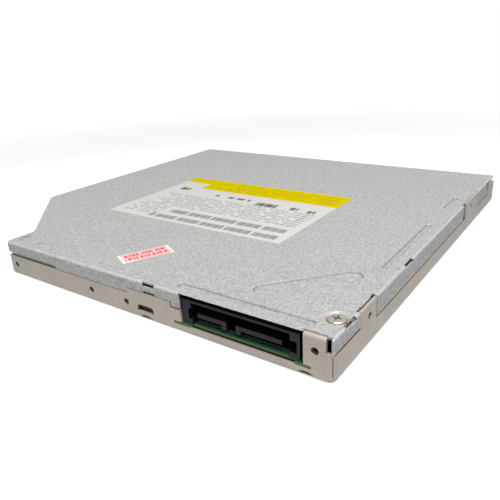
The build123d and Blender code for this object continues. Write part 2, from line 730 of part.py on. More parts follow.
def flange_cuts():
    """Return what is cut away from the cover's skirt to leave its flanges."""
    skirt = COVER_SHEET + COVER_BEND
    rear_y = (REAR - skirt, REAR)
    stretches = (
        (STEP_X, LOW_FLANGE_START, REAR_FLANGE_HIGH),
        (LOW_FLANGE_START, LATCH_START, REAR_FLANGE_LOW),
        (LATCH_START, HOOK_START, REAR_FLANGE_LATCH),
        (HOOK_START, BAY_START, REAR_FLANGE_LOW),
        (BAY_START, BAY_END, HEIGHT),
        (BAY_END, LEFT + COVER_SHEET, COVER_UNDER),
    )
    cuts = block((STEP_X, STEP_X - skirt), (REAR, REAR - EAR_LENGTH), (0, REAR_FLANGE_HIGH))
    for start, end, bottom in stretches:
        cuts += block((start, end), rear_y, (0, bottom))
    cuts += block((BAY_END, CORNER_CUT), (REAR, REAR - LUG_FOLD_DEPTH - FIT), (0, HEIGHT))
    cuts += block((CORNER_CUT, LEFT + COVER_SHEET), (REAR - CASE_SHEET, REAR), (0, HEIGHT))
    return cuts + side_flange_cuts(skirt) + tab_clearances()


def side_flange_cuts(skirt):
    """Return what is cut from the skirt on the narrow side."""
    side_x = (LEFT, LEFT + skirt)
    cuts = block(side_x, (REAR, FLANGE_A_END), (0, CORNER_CUT_BOTTOM))
    cuts += block(side_x, FLANGE_TICK, (CORNER_CUT_BOTTOM, CORNER_CUT_BOTTOM + FLANGE_TICK_HIGH))
    cuts += block(side_x, (FLANGE_A_END, TAB_END - TAB_GAP), (0, COVER_UNDER))
    cuts += block(side_x, (FLANGE_B_END, FRONT_TAB_END), (0, COVER_UNDER))
    end_low, end_high = FLANGE_C_END - FLANGE_SLANT / 2, FLANGE_C_END + FLANGE_SLANT / 4
    profile = make_face(Polyline(
        (TAB_END, 0), (TAB_END, FLANGE_BOTTOM), (FLANGE_B_END - FLANGE_SLANT, FLANGE_BOTTOM),
        (FLANGE_B_END, HEIGHT), (FRONT_TAB_END - FIT, HEIGHT), (FRONT_TAB_END - FIT, FLANGE_BOTTOM),
        (end_low, FLANGE_BOTTOM), (end_high, COVER_UNDER), (FRONT, COVER_UNDER), (FRONT, 0), close=True))
    along_side = Plane(origin=(LEFT, 0, 0), x_dir=(0, 1, 0), z_dir=(1, 0, 0))
    return cuts + extrude(along_side * profile, CASE_SHEET + FIT)


def tab_clearances():
    """Return the slot, notch and nicks in the cover round the case's rear tab."""
    slot_x = (LEFT, LEFT + CASE_SHEET + TAB_SLOT)
    notch_x = (LEFT, LEFT + TAB_NOTCH)
    cuts = block(slot_x, (FLANGE_A_END, TAB_END - TAB_GAP), (0, HEIGHT))
    cuts += block(notch_x, (TAB_END - TAB_GAP, TAB_NOTCH_END), (COVER_UNDER, HEIGHT))
    for nick_y in TAB_NICKS:
        cuts += block(notch_x, nick_y, (COVER_UNDER, HEIGHT))
    return cuts


def bay_edge():
    """Return the cover's thin straight edge over the connector, where it has no bend."""
    start = REAR - COVER_SHEET - COVER_BEND
    wedge = make_face(Polyline(
        (start, COVER_UNDER), (start, HEIGHT), (REAR, HEIGHT), (REAR, HEIGHT - BAY_EDGE), close=True))
    across = Plane(origin=(BAY_END, 0, 0), x_dir=(0, 1, 0), z_dir=(1, 0, 0))
    return extrude(across * wedge, BAY_START - BAY_END)


def cover_skirt_bottoms():
    """Return what is cut below the flange on the wide side and at the front."""
    inside = grown(cover_outline(), -COVER_SHEET)
    front = FRONT + COVER_SETBACK
    low = plate(cover_outline(), 0, WIDE_FLANGE_BOTTOM)
    hollow = plate(inside, 0, COVER_UNDER)
    mouth_x = (LEFT + COVER_SHEET, RIGHT - COVER_SHEET)
    return low + hollow + block(mouth_x, (front, front + COVER_SHEET), (0, COVER_UNDER))


def wide_side_lip():
    """Return the lip folded inwards under the tray's wide side."""
    lip_y = (FRONT + COVER_SETBACK, REAR - NOTCH_LENGTH - FRONT_CORNER_ROUND)
    return block((RIGHT, RIGHT - WIDE_LIP), lip_y, (WIDE_FLANGE_BOTTOM, WIDE_FLANGE_BOTTOM + COVER_SHEET))


def rear_rib():
    """Return the outline of the rib pressed in along the rear edge."""
    return capsule(*REAR_RIB, REAR_RIB_WIDTH)


def press(cover, outline, depth, slope):
    """Return the cover with an outline pressed into it, its sides sloping and its sheet kept."""
    pressed = extrude(outline, -depth, taper=slope)
    return cover + Pos(0, 0, COVER_UNDER) * pressed - Pos(0, 0, HEIGHT) * pressed


def make_top_cover():
    """Return the pressed top cover with its flanges, ribs and screw recess."""
    cover = plate(cover_outline(), 0, HEIGHT)
    cover = fillet(cover.faces().sort_by(Axis.Z)[-1].edges(), COVER_BEND)
    cover = cover - cover_skirt_bottoms() + wide_side_lip()
    cover = cover - flange_cuts() + bay_edge()
    cover = press(cover, capsule(*DIAGONAL_RIB, DIAGONAL_RIB_WIDTH), RIB_DEPTH, RIB_SLOPE)
    cover = press(cover, rear_rib(), RIB_DEPTH, RIB_SLOPE)
    for centres in SIDE_RIBS:
        cover = press(cover, capsule(*centres, SIDE_RIB_WIDTH), RIB_DEPTH, RIB_SLOPE)
    cover = press(cover, Pos(*DIMPLE, 0) * Circle(DIMPLE_R), DIMPLE_DEPTH, RIB_SLOPE)
    cover = press(cover, Pos(SCREW_X, SCREW_Y, 0) * Circle(RECESS_R), RECESS_DEPTH, RECESS_SLOPE)
    cover -= post(SCREW_X, SCREW_Y, SCREW_SHANK_R + FIT, 0, HEIGHT)
    for slit_y in BEND_SLITS:
        cover -= block((LEFT, LEFT + BEND_SLIT), slit_y, (HEIGHT - BEND_SLIT, HEIGHT))
    for slot_x, slot_z in ((LATCH_SLOT_HIGH_X, LATCH_SLOT_HIGH_Z), (LATCH_SLOT_LOW_X, LATCH_SLOT_LOW_Z)):
        cover -= block(slot_x, (REAR - COVER_SHEET, REAR), slot_z)
    return cover


def make_cover_screw():
    """Return the pan-head screw that holds the cover to the case's lug."""
    seat = HEIGHT - RECESS_DEPTH
    head = Pos(0, 0, seat) * extrude(Circle(SCREW_HEAD_R), SCREW_HEAD)
    head = fillet(head.edges().group_by(Axis.Z)[-1], SCREW_HEAD_ROUND)
    top = seat + SCREW_HEAD
    slot = Pos(0, 0, top) * Box(SCREW_CROSS, SCREW_CROSS_WIDTH, 2 * SCREW_CROSS_DEPTH)
    head -= slot + Rot(0, 0, 90) * slot
    shank = post(0, 0, SCREW_SHANK_R, seat - SCREW_SHANK, seat)
    return Pos(SCREW_X, SCREW_Y, 0) * (head + shank)


# Boards and connector

def board_sides():
    """Return the main board's side edges, by x, between the two runners and behind them."""
    between = (INNER_LEFT + RAIL_STACK + BOARD_SIDE_GAP, INNER_STEP - RAIL_STACK - BOARD_SIDE_GAP)
    behind = (INNER_LEFT + BOARD_SIDE_GAP, INNER_STEP - 2 * BOARD_SIDE_GAP)
    return between, behind


def make_main_board():
    """Return the main board, whose two tabs rest on the case's rear lip."""
    rear_edge = REAR - 2 * CASE_SHEET - FIT
    sheet_z = (LIP_TOP, BOARD_TOP)
    between, behind = board_sides()
    rails_end = RAIL_START + RAIL_LENGTH + RAIL_END_GAP
    outline = outline_of([
        (between[0], BOARD_FRONT), (between[1], BOARD_FRONT), (between[1], rails_end),
        (behind[1], rails_end), (behind[1], rear_edge), (behind[0], rear_edge), (behind[0], rails_end),
        (between[0], rails_end)])
    board = plate(outline, *sheet_z)
    board += block((BOARD_TAB_X[0][0], BOARD_TAB_X[1][1]), (rear_edge, REAR - BOARD_SETBACK), sheet_z)
    for tab in BOARD_TAB_X:
        board += block(tab, (rear_edge, REAR - FIT / 2), sheet_z)
    notch = THREAD_COLLAR_R + FIT
    for x in REAR_HOLES_LOW:
        board -= block((x - notch, x + notch), (rear_edge, rear_edge - COLLAR_NOTCH), sheet_z)
    for x, y in board_screw_places():
        board -= post(x, y, SCREW_SHANK_R + FIT, 0, HEIGHT)
    return board


def board_screw_places():
    """Return where the main board is screwed to the bosses of the case."""
    between = board_sides()[0]
    y = BOARD_FRONT + BOARD_SCREW_IN
    return [(between[0] + BOARD_SCREW_IN, y), (between[1] - BOARD_SCREW_IN, y)]


def board_bosses():
    """Return the two pressed bosses that the main board is screwed to."""
    bosses = []
    for x, y in board_screw_places():
        solid = post(x, y, BOARD_BOSS_R, CASE_SHEET, LIP_TOP)
        bosses.append(solid - post(x, y, SCREW_SHANK_R, CASE_SHEET, LIP_TOP))
    return bosses


def make_board_screws():
    """Return the two screws of the main board."""
    screws = []
    for x, y in board_screw_places():
        head = post(x, y, BOARD_SCREW_R, BOARD_TOP, BOARD_TOP + BOARD_SCREW_HEAD)
        screws.append(head + post(x, y, SCREW_SHANK_R, CASE_SHEET + FIT, BOARD_TOP))
    return screws


def plug_span():
    """Return the front and back of the connector housing, by y."""
    front = REAR - PLUG_FRONT_GAP
    return front, front - PLUG_LENGTH


def inset(sides):
    """Return the span inside the housing that leaves a side of each thickness, by x."""
    return PLUG_LEFT - sides[0], PLUG_RIGHT + sides[1]


def make_connector_housing():
    """Return the moulded connector housing, stepped inside so that its mate enters one way only."""
    front, back = plug_span()
    body = block((PLUG_LEFT, PLUG_RIGHT), (front, back), (BOARD_TOP, PLUG_TOP))
    cavity_y = (front, back + PLUG_BACK)
    narrow_x = inset(PLUG_NARROW_SIDES)
    body -= block(inset(PLUG_WIDE_SIDES), cavity_y, (PLUG_SHELF, PLUG_TOP - PLUG_ROOF))
    body -= block(narrow_x, cavity_y, (BOARD_TOP, PLUG_SHELF))
    floor_y = (front - PLUG_FLOOR_SETBACK, cavity_y[1])
    body += block(narrow_x, floor_y, (BOARD_TOP, BOARD_TOP + PLUG_FLOOR))
    feet = block(narrow_x, (front, front - PLUG_FOOT_DEPTH), (BOARD_TOP, BOARD_TOP + PLUG_FOOT_HEIGHT))
    body += feet - block(inset(PLUG_FEET_SIDES), cavity_y, (BOARD_TOP, PLUG_SHELF))
    for span, foot_x in ((POWER_TONGUE, POWER_TONGUE[1]), (SIGNAL_TONGUE, SIGNAL_TONGUE[0])):
        body += make_tongue(span, foot_x, cavity_y)
    return body


def make_tongue(span, foot_x, cavity_y):
    """Return a contact tongue with the foot at one end that keys it."""
    tongue_y = (cavity_y[0] - TONGUE_SETBACK, cavity_y[1])
    under = TONGUE_TOP - TONGUE
    blade = block(span, tongue_y, (under, TONGUE_TOP))
    inward = TONGUE_FOOT if foot_x == span[1] else -TONGUE_FOOT
    foot = block((foot_x, foot_x + inward), tongue_y, (under - TONGUE_FOOT_DROP, TONGUE_TOP))
    return blade + foot


def make_contacts():
    """Return the flat contacts on the underside of both tongues."""
    front, back = plug_span()
    contact_y = (front - TONGUE_SETBACK - CONTACT_SETBACK, back + PLUG_BACK)
    under = TONGUE_TOP - TONGUE
    contacts = []
    for span, count in ((POWER_TONGUE, POWER_CONTACTS), (SIGNAL_TONGUE, SIGNAL_CONTACTS)):
        middle = sum(span) / 2 + (TONGUE_FOOT / 2 if span is POWER_TONGUE else -TONGUE_FOOT / 2)
        for number in range(count):
            x = middle + (number - (count - 1) / 2) * CONTACT_PITCH
            contact_x = (x - CONTACT_WIDTH / 2, x + CONTACT_WIDTH / 2)
            contacts.append(block(contact_x, contact_y, (under - CONTACT_SHEET, under)))
    return contacts


def make_board_chips():
    """Return the three chips of the main board by the names of their nodes."""
    chips = {}
    for name, (place, size) in CHIPS.items():
        chip = Pos(*place, BOARD_TOP + size[2] / 2) * Box(*size)
        chips[name] = chamfer(chip.edges().group_by(Axis.Z)[-1], CHIP_BEVEL)
    return chips


def make_capacitors():
    """Return the row of small capacitors beside the motor driver."""
    x, y = CAPACITOR_FIRST
    z = BOARD_TOP + CAPACITOR_SIZE[2] / 2
    return [Pos(x, y + CAPACITOR_PITCH * n, z) * Box(*CAPACITOR_SIZE) for n in range(CAPACITOR_COUNT)]


def make_oscillator():
    """Return the crystal oscillator can."""
    can = Pos(*OSCILLATOR_PLACE, BOARD_TOP + OSCILLATOR_SIZE[2] / 2) * Box(*OSCILLATOR_SIZE)
    return fillet(can.edges().filter_by(Axis.Z), OSCILLATOR_ROUND)


def make_flex_socket():
    """Return the socket on the main board that takes the tray's flat cable."""
    front = BOARD_FRONT + SOCKET_FRONT
    low = BOARD_TOP + SOCKET_SLOT_Z
    body_x = (FLEX_X[0] - SOCKET_WALL, FLEX_X[1] + SOCKET_WALL)
    body = block(body_x, (front, BOARD_FRONT + SOCKET_BACK), (BOARD_TOP, BOARD_TOP + SOCKET_HEIGHT))
    return body - block(FLEX_X, (front, BOARD_FRONT + SOCKET_SLOT_END), (low, low + FLEX + FIT))


def make_flex_cable():
    """Return the flat cable that folds back on itself under the traverse."""
    low = CASE_SHEET + FIT + FLEX / 2
    high = low + FLEX_LAYER
    rise = TRAY_BOTTOM - FLEX / 2
    plug = BOARD_TOP + SOCKET_SLOT_Z + (FLEX + FIT) / 2
    points = [
        (BOARD_FRONT + FLEX_PLUG_END, plug), (BOARD_FRONT - FLEX_LOW_START + FLEX_RISE, plug),
        (BOARD_FRONT - FLEX_LOW_START, low), (FLEX_FOLD_Y, low), (FLEX_FOLD_Y, high),
        (BOARD_FRONT - FLEX_HIGH_END, high), (BOARD_FRONT - FLEX_HIGH_END + FLEX_RISE, rise),
        (BOARD_FRONT + FLEX_LAP, rise),
    ]
    face = Plane.YZ * trace(Polyline(*points), FLEX)
    return Pos(FLEX_X[0], 0, 0) * extrude(face, FLEX_X[1] - FLEX_X[0])


# Rails

def rail_faces():
    """Return the guide, rail and runner sections, measured from the wall they hang on."""
    low, high = RAIL_Z - GUIDE_HEIGHT / 2, RAIL_Z + GUIDE_HEIGHT / 2
    inside = (low + GUIDE_WALL, high - GUIDE_WALL)
    rail_z = (inside[0] + FIT, inside[1] - FIT)
    opening = (RAIL_Z - GUIDE_OPENING / 2, RAIL_Z + GUIDE_OPENING / 2)
    guide = section((0, GUIDE_DEPTH), (low, high))
    guide -= section((GUIDE_BACK, GUIDE_DEPTH - RAIL_LIP), inside)
    guide -= section((GUIDE_DEPTH - RAIL_LIP, GUIDE_DEPTH), opening)
    near = GUIDE_BACK + FIT
    rail = section((near, near + RAIL_FLANGE), rail_z)
    rail += section((RAIL_FAR, RAIL_FAR + RAIL_FLANGE), rail_z)
    rail += section((near, RAIL_FAR), (RAIL_Z - RAIL_WEB / 2, RAIL_Z + RAIL_WEB / 2))
    runner = section((RUNNER_START, RAIL_STACK), (low, TRAY_BOTTOM))
    runner -= section((RUNNER_START + RAIL_LIP, RUNNER_BACK), inside)
    runner -= section((RUNNER_START, RUNNER_START + RAIL_LIP), opening)
    return guide, rail, runner


def section(x_pair, z_pair):
    """Return a rectangle in the plane across the rails."""
    size = (abs(x_pair[1] - x_pair[0]), abs(z_pair[1] - z_pair[0]))
    centre = ((x_pair[0] + x_pair[1]) / 2, (z_pair[0] + z_pair[1]) / 2)
    return Pos(*centre) * Rectangle(*size)


def run(face, wall_x, turned, y_start, length):
    """Return a section drawn along the rails from one wall, turned round for the other."""
    across = Plane(origin=(wall_x, y_start, 0), x_dir=(1, 0, 0), z_dir=(0, -1, 0))
    drawn = extrude(across * face, -length)
    return mirror(drawn, about=Plane(origin=(wall_x, 0, 0), z_dir=(1, 0, 0))) if turned else drawn


def make_rails():
    """Return guides and sliding rails for both sides, and the tray's two runners."""
    guide, rail, runner = rail_faces()
    guide_length = RAIL_LENGTH + RAIL_END_GAP
    parts = {}
    runners = []
    for side, wall_x, turned in (("left", INNER_LEFT, False), ("right", INNER_STEP, True)):
        parts[f"{side}_guide"] = run(guide, wall_x, turned, RAIL_START, guide_length)
        parts[f"{side}_slide_rail"] = run(rail, wall_x, turned, RAIL_START + FIT, RAIL_LENGTH)
        runners.append(run(runner, wall_x, turned, RAIL_START, RAIL_LENGTH))
    return parts, runners


# Traverse, in its own frame

def chassis_outline():
    """Return the outline of the traverse chassis, in its own frame."""
    return outline_of([
        (CHASSIS_INNER_X, CHASSIS_FAR_Y), (CHASSIS_OUTER_X - CHASSIS_FAR_CHAMFER, CHASSIS_FAR_Y),
        (CHASSIS_OUTER_X, -CHASSIS_END_HALF), (CHASSIS_OUTER_X, CHASSIS_END_HALF),
        (CHASSIS_OUTER_X - CHASSIS_CHAMFER, CHASSIS_NEAR_Y),
        (CHASSIS_INNER_X + CHASSIS_CHAMFER, CHASSIS_NEAR_Y),
        (CHASSIS_INNER_X, CHASSIS_NEAR_Y - CHASSIS_CHAMFER)])


def chassis_window():
    """Return the outline of the opening that the pickup travels in."""
    inner, outer = CHASSIS_WINDOW_X
    half = CHASSIS_WINDOW_HALF
    corners = [(inner, -half), (outer, -half), (outer, half), (inner, half)]
    return outline_of(corners, [(number, WINDOW_ROUND) for number in range(len(corners))])


def make_chassis():
    """Return the sheet chassis with its window, ears and bent-down holders."""
    sheet_z = (CHASSIS_Z, CHASSIS_TOP)
    chassis = plate(chassis_outline(), *sheet_z)
    for x, y in DAMPER_PLACES:
        chassis += post(x, y, DAMPER_R + DAMPER_EAR, *sheet_z)
    chassis -= plate(chassis_window(), *sheet_z)
    chassis -= post(0, 0, ROTOR_R + ROTOR_CLEARANCE + FIT, *sheet_z)
    for x, y in DAMPER_PLACES:
        chassis -= post(x, y, DAMPER_HOLE_R, *sheet_z)
    holder_z = (SHAFT_Z - SHAFT_R - HOLDER_UNDER, CHASSIS_Z)
    for y in (-SHAFT_Y, SHAFT_Y):
        for x in (SHAFT_START, SHAFT_END - HOLDER):
            chassis += block((x, x + HOLDER), (y - HOLDER_HALF, y + HOLDER_HALF), holder_z)
        chassis -= rod((SHAFT_START, y, SHAFT_Z), (SHAFT_END, y, SHAFT_Z), SHAFT_R)
    pivot_x = (LEAD_SCREW_END - HOLDER, LEAD_SCREW_END)
    pivot_y = (SCREW_LINE_Y - PIVOT_HALF, SCREW_LINE_Y + PIVOT_HALF)
    chassis += block(pivot_x, pivot_y, (SCREW_LINE_Z - PIVOT_UNDER, CHASSIS_Z))
    return chassis - along_screw(*pivot_x, LEAD_SCREW_R + FIT / 2)


def along_screw(start_x, end_x, radius):
    """Return a round rod on the lead screw's line."""
    return rod((start_x, SCREW_LINE_Y, SCREW_LINE_Z), (end_x, SCREW_LINE_Y, SCREW_LINE_Z), radius)


def make_dampers():
    """Return the rubber grommets, each a turned spool that grips the chassis."""
    neck, wide = DAMPER_HOLE_R, DAMPER_R
    low = CHASSIS_Z - DAMPER_UNDER
    profile = make_face(Polyline(
        (SCREW_SHANK_R, low), (wide, low), (wide, CHASSIS_Z), (neck, CHASSIS_Z), (neck, CHASSIS_TOP),
        (wide, CHASSIS_TOP), (wide, TRAY_BOTTOM), (SCREW_SHANK_R, TRAY_BOTTOM), close=True))
    spool = revolve(Plane.XZ * profile, Axis.Z)
    return [Pos(x, y, 0) * spool for x, y in DAMPER_PLACES]


def make_damper_screws():
    """Return the screws that carry the traverse through its grommets."""
    low = CHASSIS_Z - DAMPER_UNDER
    head = post(0, 0, DAMPER_SCREW_HEAD_R, low - DAMPER_SCREW_HEAD, low)
    screw = head + post(0, 0, SCREW_SHANK_R, low, TRAY_BOTTOM + DAMPER_SCREW_GRIP)
    return [Pos(x, y, 0) * screw for x, y in DAMPER_PLACES]


def make_guide_shafts():
    """Return the two ground shafts that the pickup runs on."""
    return [rod((SHAFT_START, y, SHAFT_Z), (SHAFT_END, y, SHAFT_Z), SHAFT_R) for y in (-SHAFT_Y, SHAFT_Y)]


def make_motor_base():
    """Return the spindle motor's base plate with the boss that holds its bearing."""
    sheet_z = (CHASSIS_Z - CHASSIS_SHEET, CHASSIS_Z)
    base = post(0, 0, ROTOR_R + BASE_RIM, *sheet_z)
    for angle in BASE_EAR_ANGLES:
        base += Rot(0, 0, angle) * post(ROTOR_R + BASE_EAR_OUT, 0, BASE_EAR_R, *sheet_z)
    base += post(0, 0, BEARING_R + BEARING_BOSS, BEARING_BOTTOM, CHASSIS_Z)
    return base - post(0, 0, BEARING_R, BEARING_BOTTOM + BEARING_SEAT, CHASSIS_Z)


def make_bearing():
    """Return the sintered sleeve that the spindle turns in."""
    sleeve = post(0, 0, BEARING_R, BEARING_BOTTOM + BEARING_SEAT, CHASSIS_Z + BEARING_RISE)
    return sleeve - post(0, 0, SPINDLE_R + SPINDLE_CLEARANCE, BEARING_BOTTOM, HEIGHT)


def make_stator():
    """Return the laminated stator: a hub ring with nine poles and their wide tips."""
    stack_z = (CHASSIS_Z + STATOR_GAP, ROTOR_TOP - ROTOR_WALL - STATOR_GAP - FIT)
    stator = post(0, 0, STATOR_CORE_R, *stack_z)
    inner, outer = POLE_TIP_R
    pole = block(POLE_X, (-POLE_HALF, POLE_HALF), stack_z)
    tip = post(0, 0, outer, *stack_z) - post(0, 0, inner, *stack_z)
    tip &= block((0, ROTOR_R), (-POLE_TIP_HALF, POLE_TIP_HALF), stack_z)
    for number in range(POLE_COUNT):
        stator += Rot(0, 0, 360 / POLE_COUNT * number) * (pole + tip)
    foot = post(0, 0, STATOR_FOOT_R, CHASSIS_Z, stack_z[0])
    return stator + foot - post(0, 0, BEARING_R, 0, HEIGHT)


def make_rotor():
    """Return the turned rotor cup with its magnet ledge and the hub that centres the disc."""
    roof, inside = ROTOR_TOP - ROTOR_WALL, ROTOR_R - ROTOR_WALL
    profile = make_face(Polyline(
        (SPINDLE_R, roof), (inside, roof), (inside, ROTOR_BOTTOM), (ROTOR_R, ROTOR_BOTTOM),
        (ROTOR_R, ROTOR_TOP), (HUB_RADIUS, ROTOR_TOP), (HUB_RADIUS, HUB_TOP - HUB_CHAMFER - FIT),
        (HUB_RADIUS - HUB_CHAMFER, HUB_TOP), (SPINDLE_R, HUB_TOP), close=True))
    rotor = revolve(Plane.XZ * profile, Axis.Z)
    half = CLAW_WIDTH / 2 + FIT
    pocket_z = (ROTOR_TOP + CLAW_POCKET_FLOOR, HUB_TOP - CLAW_POCKET_ROOF)
    pocket = block((CLAW_POCKET_R, DISC_HOLE_R), (-half, half), pocket_z)
    for angle in claw_angles():
        rotor -= Rot(0, 0, angle) * pocket
    return rotor


def claw_angles():
    """Return the angles at which the clamp claws stand round the hub."""
    return [360 / CLAW_COUNT * number for number in range(CLAW_COUNT)]


def make_claw(angle):
    """Return one clamp claw, sprung outwards over the edge of the disc's hole."""
    low, high = ROTOR_TOP + CLAW_POCKET_FLOOR + FIT, HUB_TOP - CLAW_POCKET_ROOF - FIT
    nose_z = DISC_PLANE + DISC_THICKNESS - CLAW_NOSE_RISE
    shoulder = DISC_HOLE_R - CLAW_SHOULDER
    profile = make_face(Polyline(
        (CLAW_INNER_R, low), (shoulder, low), (shoulder, nose_z - CLAW_SHOULDER),
        (DISC_HOLE_R + CLAW_NOSE, nose_z), (HUB_RADIUS, high), (CLAW_INNER_R, high), close=True))
    claw = extrude(Plane.XZ * profile, CLAW_WIDTH / 2, both=True)
    return Rot(0, 0, angle) * claw


def make_spindle():
    """Return the spindle shaft."""
    lift, sink = SPINDLE_ENDS
    return post(0, 0, SPINDLE_R, BEARING_BOTTOM + lift, HUB_TOP - sink)


def make_magnet():
    """Return the ring magnet inside the rotor cup."""
    outer = ROTOR_R - ROTOR_WALL
    ring_z = (ROTOR_BOTTOM, ROTOR_TOP - ROTOR_WALL)
    return post(0, 0, outer, *ring_z) - post(0, 0, outer - MAGNET_WALL, *ring_z)


def make_turntable_ring():
    """Return the rubber ring that the disc rests on."""
    outer = ROTOR_R - RING_EDGE
    ring_z = (ROTOR_TOP, DISC_PLANE)
    return post(0, 0, outer, *ring_z) - post(0, 0, outer - RING_WIDTH, *ring_z)


def make_feed_motor():
    """Return the flat-sided feed motor."""
    end_face = (FEED_MOTOR_START, SCREW_LINE_Y, SCREW_LINE_Z)
    across = Plane(origin=end_face, x_dir=(0, 1, 0), z_dir=(1, 0, 0))
    can = extrude(across * SlotOverall(*FEED_MOTOR_SIZE), FEED_MOTOR_END - FEED_MOTOR_START)
    return can - along_screw(FEED_MOTOR_END - LEAD_SCREW_SEAT, FEED_MOTOR_END, LEAD_SCREW_R + FIT / 2)


def make_lead_screw():
    """Return the lead screw as a plain rod."""
    motor_gap, pivot_gap = LEAD_SCREW_ENDS
    start = FEED_MOTOR_END - LEAD_SCREW_SEAT + motor_gap
    return along_screw(start, LEAD_SCREW_END - pivot_gap, LEAD_SCREW_R)


def make_sled():
    """Return the cast pickup body with its bearings on both shafts."""
    inner, outer = SLED_X
    outline = outline_of(
        [(inner, -SLED_INNER_HALF), (outer, -SLED_OUTER_HALF),
         (outer, SLED_OUTER_HALF), (inner, SLED_INNER_HALF)],
        ((0, SLED_ROUND), (1, SLED_OUTER_ROUND), (2, SLED_OUTER_ROUND), (3, SLED_ROUND)))
    sled = plate(outline, SLED_BOTTOM, SLED_DECK)
    sled += block(SLED_UPPER_X, (-SLED_UPPER_HALF, SLED_UPPER_HALF), (SLED_DECK, SLED_TOP))
    arm_x = (inner, SLED_ARM_END)
    arm_z = (SHAFT_Z - SLED_ARM_UNDER, SLED_DECK)
    for side in (-1, 1):
        y = side * SHAFT_Y
        sled += block(arm_x, (y - SLED_ARM_HALF, y + SLED_ARM_HALF), arm_z)
        sled += block(arm_x, (y, side * SLED_ARM_INNER), arm_z)
        sled -= rod((arm_x[0], y, SHAFT_Z), (arm_x[1], y, SHAFT_Z), SHAFT_R + FIT / 2)
    sled -= post(0, 0, ROTOR_R + SLED_ROTOR_GAP, 0, HEIGHT)
    half_x, half_y = SLED_POCKET
    pocket_x = (LENS_INNER - half_x, LENS_INNER + half_x)
    return sled - block(pocket_x, (-half_y, half_y), (CHASSIS_Z + FIT, SLED_TOP))


def make_lens_holder():
    """Return the moulded lens holder that floats on its wires over the pickup."""
    half_x, half_y = LENS_HOLDER_SIZE
    holder = block((LENS_INNER - half_x, LENS_INNER + half_x), (-half_y, half_y), LENS_HOLDER_Z)
    holder = fillet(holder.edges().filter_by(Axis.Z), LENS_HOLDER_ROUND)
    rim = post(LENS_INNER, 0, LENS_RIM_R, LENS_HOLDER_Z[1], LENS_RIM_TOP)
    return holder + rim - post(LENS_INNER, 0, LENS_R, LENS_BOTTOM, HEIGHT)


def make_lens():
    """Return the objective lens, crowned on top."""
    ball = Pos(LENS_INNER, 0, LENS_TOP - LENS_CROWN) * Rot(90, 0, 0) * Sphere(LENS_CROWN)
    return post(LENS_INNER, 0, LENS_R, LENS_BOTTOM, LENS_TOP) & ball


def make_yoke():
    """Return the steel yoke with its two magnets' posts, round the lens holder."""
    half_x, half_y = YOKE_SIZE
    bottom = CHASSIS_Z + FIT
    top = bottom + YOKE_FLOOR
    yoke = block((LENS_INNER - half_x, LENS_INNER + half_x), (-half_y, half_y), (bottom, top))
    for x in (LENS_INNER - half_x, LENS_INNER + half_x - YOKE_WALL):
        yoke += block((x, x + YOKE_WALL), (-YOKE_WALL_HALF, YOKE_WALL_HALF), (top, YOKE_TOP))
    return yoke


def make_rack():
    """Return the toothed follower that joins the pickup to the lead screw."""
    x_pair = (SLED_X[0], SLED_X[0] + FOLLOWER_LENGTH)
    arm = block(x_pair, (-SHAFT_Y - SLED_ARM_HALF, SCREW_LINE_Y - FOLLOWER_SIDE), FOLLOWER_Z)
    return arm - along_screw(*x_pair, LEAD_SCREW_R + FIT / 2)


def cover_plate_outline():
    """Return the outline of the traverse's cover, in the traverse's frame."""
    inner, outer = PLATE_X
    return outline_of(
        [(inner, -PLATE_HALF), (LENS_INNER, -PLATE_HALF), (outer, -PLATE_END_HALF),
         (outer, PLATE_END_HALF), (LENS_INNER, PLATE_HALF), (inner, PLATE_HALF)],
        ((0, PLATE_INNER_ROUND), (2, PLATE_ROUND), (3, PLATE_ROUND), (5, PLATE_INNER_ROUND)))


def make_traverse_cover():
    """Return the black cover over the traverse, cut out for the turntable and the lens."""
    cover = plate(cover_plate_outline(), WELL_FLOOR - PLATE_SHEET, WELL_FLOOR)
    cover -= post(0, 0, ROTOR_R + ROTOR_CLEARANCE, 0, HEIGHT)
    inner, outer = PLATE_SLOT_X
    half = PLATE_SLOT_HALF
    slot = outline_of([(inner, -half), (outer, -half), (outer, half), (inner, half)],
                      ((1, WINDOW_ROUND), (2, WINDOW_ROUND)))
    return cover - plate(slot, 0, HEIGHT)


# Tray

def tray_outline():
    """Return the outline of the tray, cut back round the rear connector and the stepped corner."""
    front, rear = FRONT + TRAY_FRONT_GAP, REAR - TRAY_REAR_GAP
    left, wide = INNER_LEFT + TRAY_SIDE_GAP, RIGHT - COVER_SHEET - TRAY_WIDE_GAP
    step = INNER_STEP - CASE_SHEET - TRAY_STEP_GAP
    relief_y = REAR - CONNECTOR_RELIEF
    notch_y, ear_y = REAR - NOTCH_LENGTH - TRAY_NOTCH_GAP, REAR - EAR_LENGTH - TRAY_NOTCH_GAP
    points = [
        (left, front), (wide, front), (wide, notch_y), (step, ear_y), (step, rear),
        (CONNECTOR_RELIEF_X, rear), (CONNECTOR_RELIEF_X, relief_y), (left, relief_y)]
    return outline_of(points, ((2, TRAY_ROUND), (3, TRAY_ROUND), (5, TRAY_ROUND), (6, TRAY_INNER_ROUND)))


def tray_opening():
    """Return the opening in the tray's floor that the traverse works through."""
    return grown(cover_plate_outline(), -TRAY_OPENING_RIM)


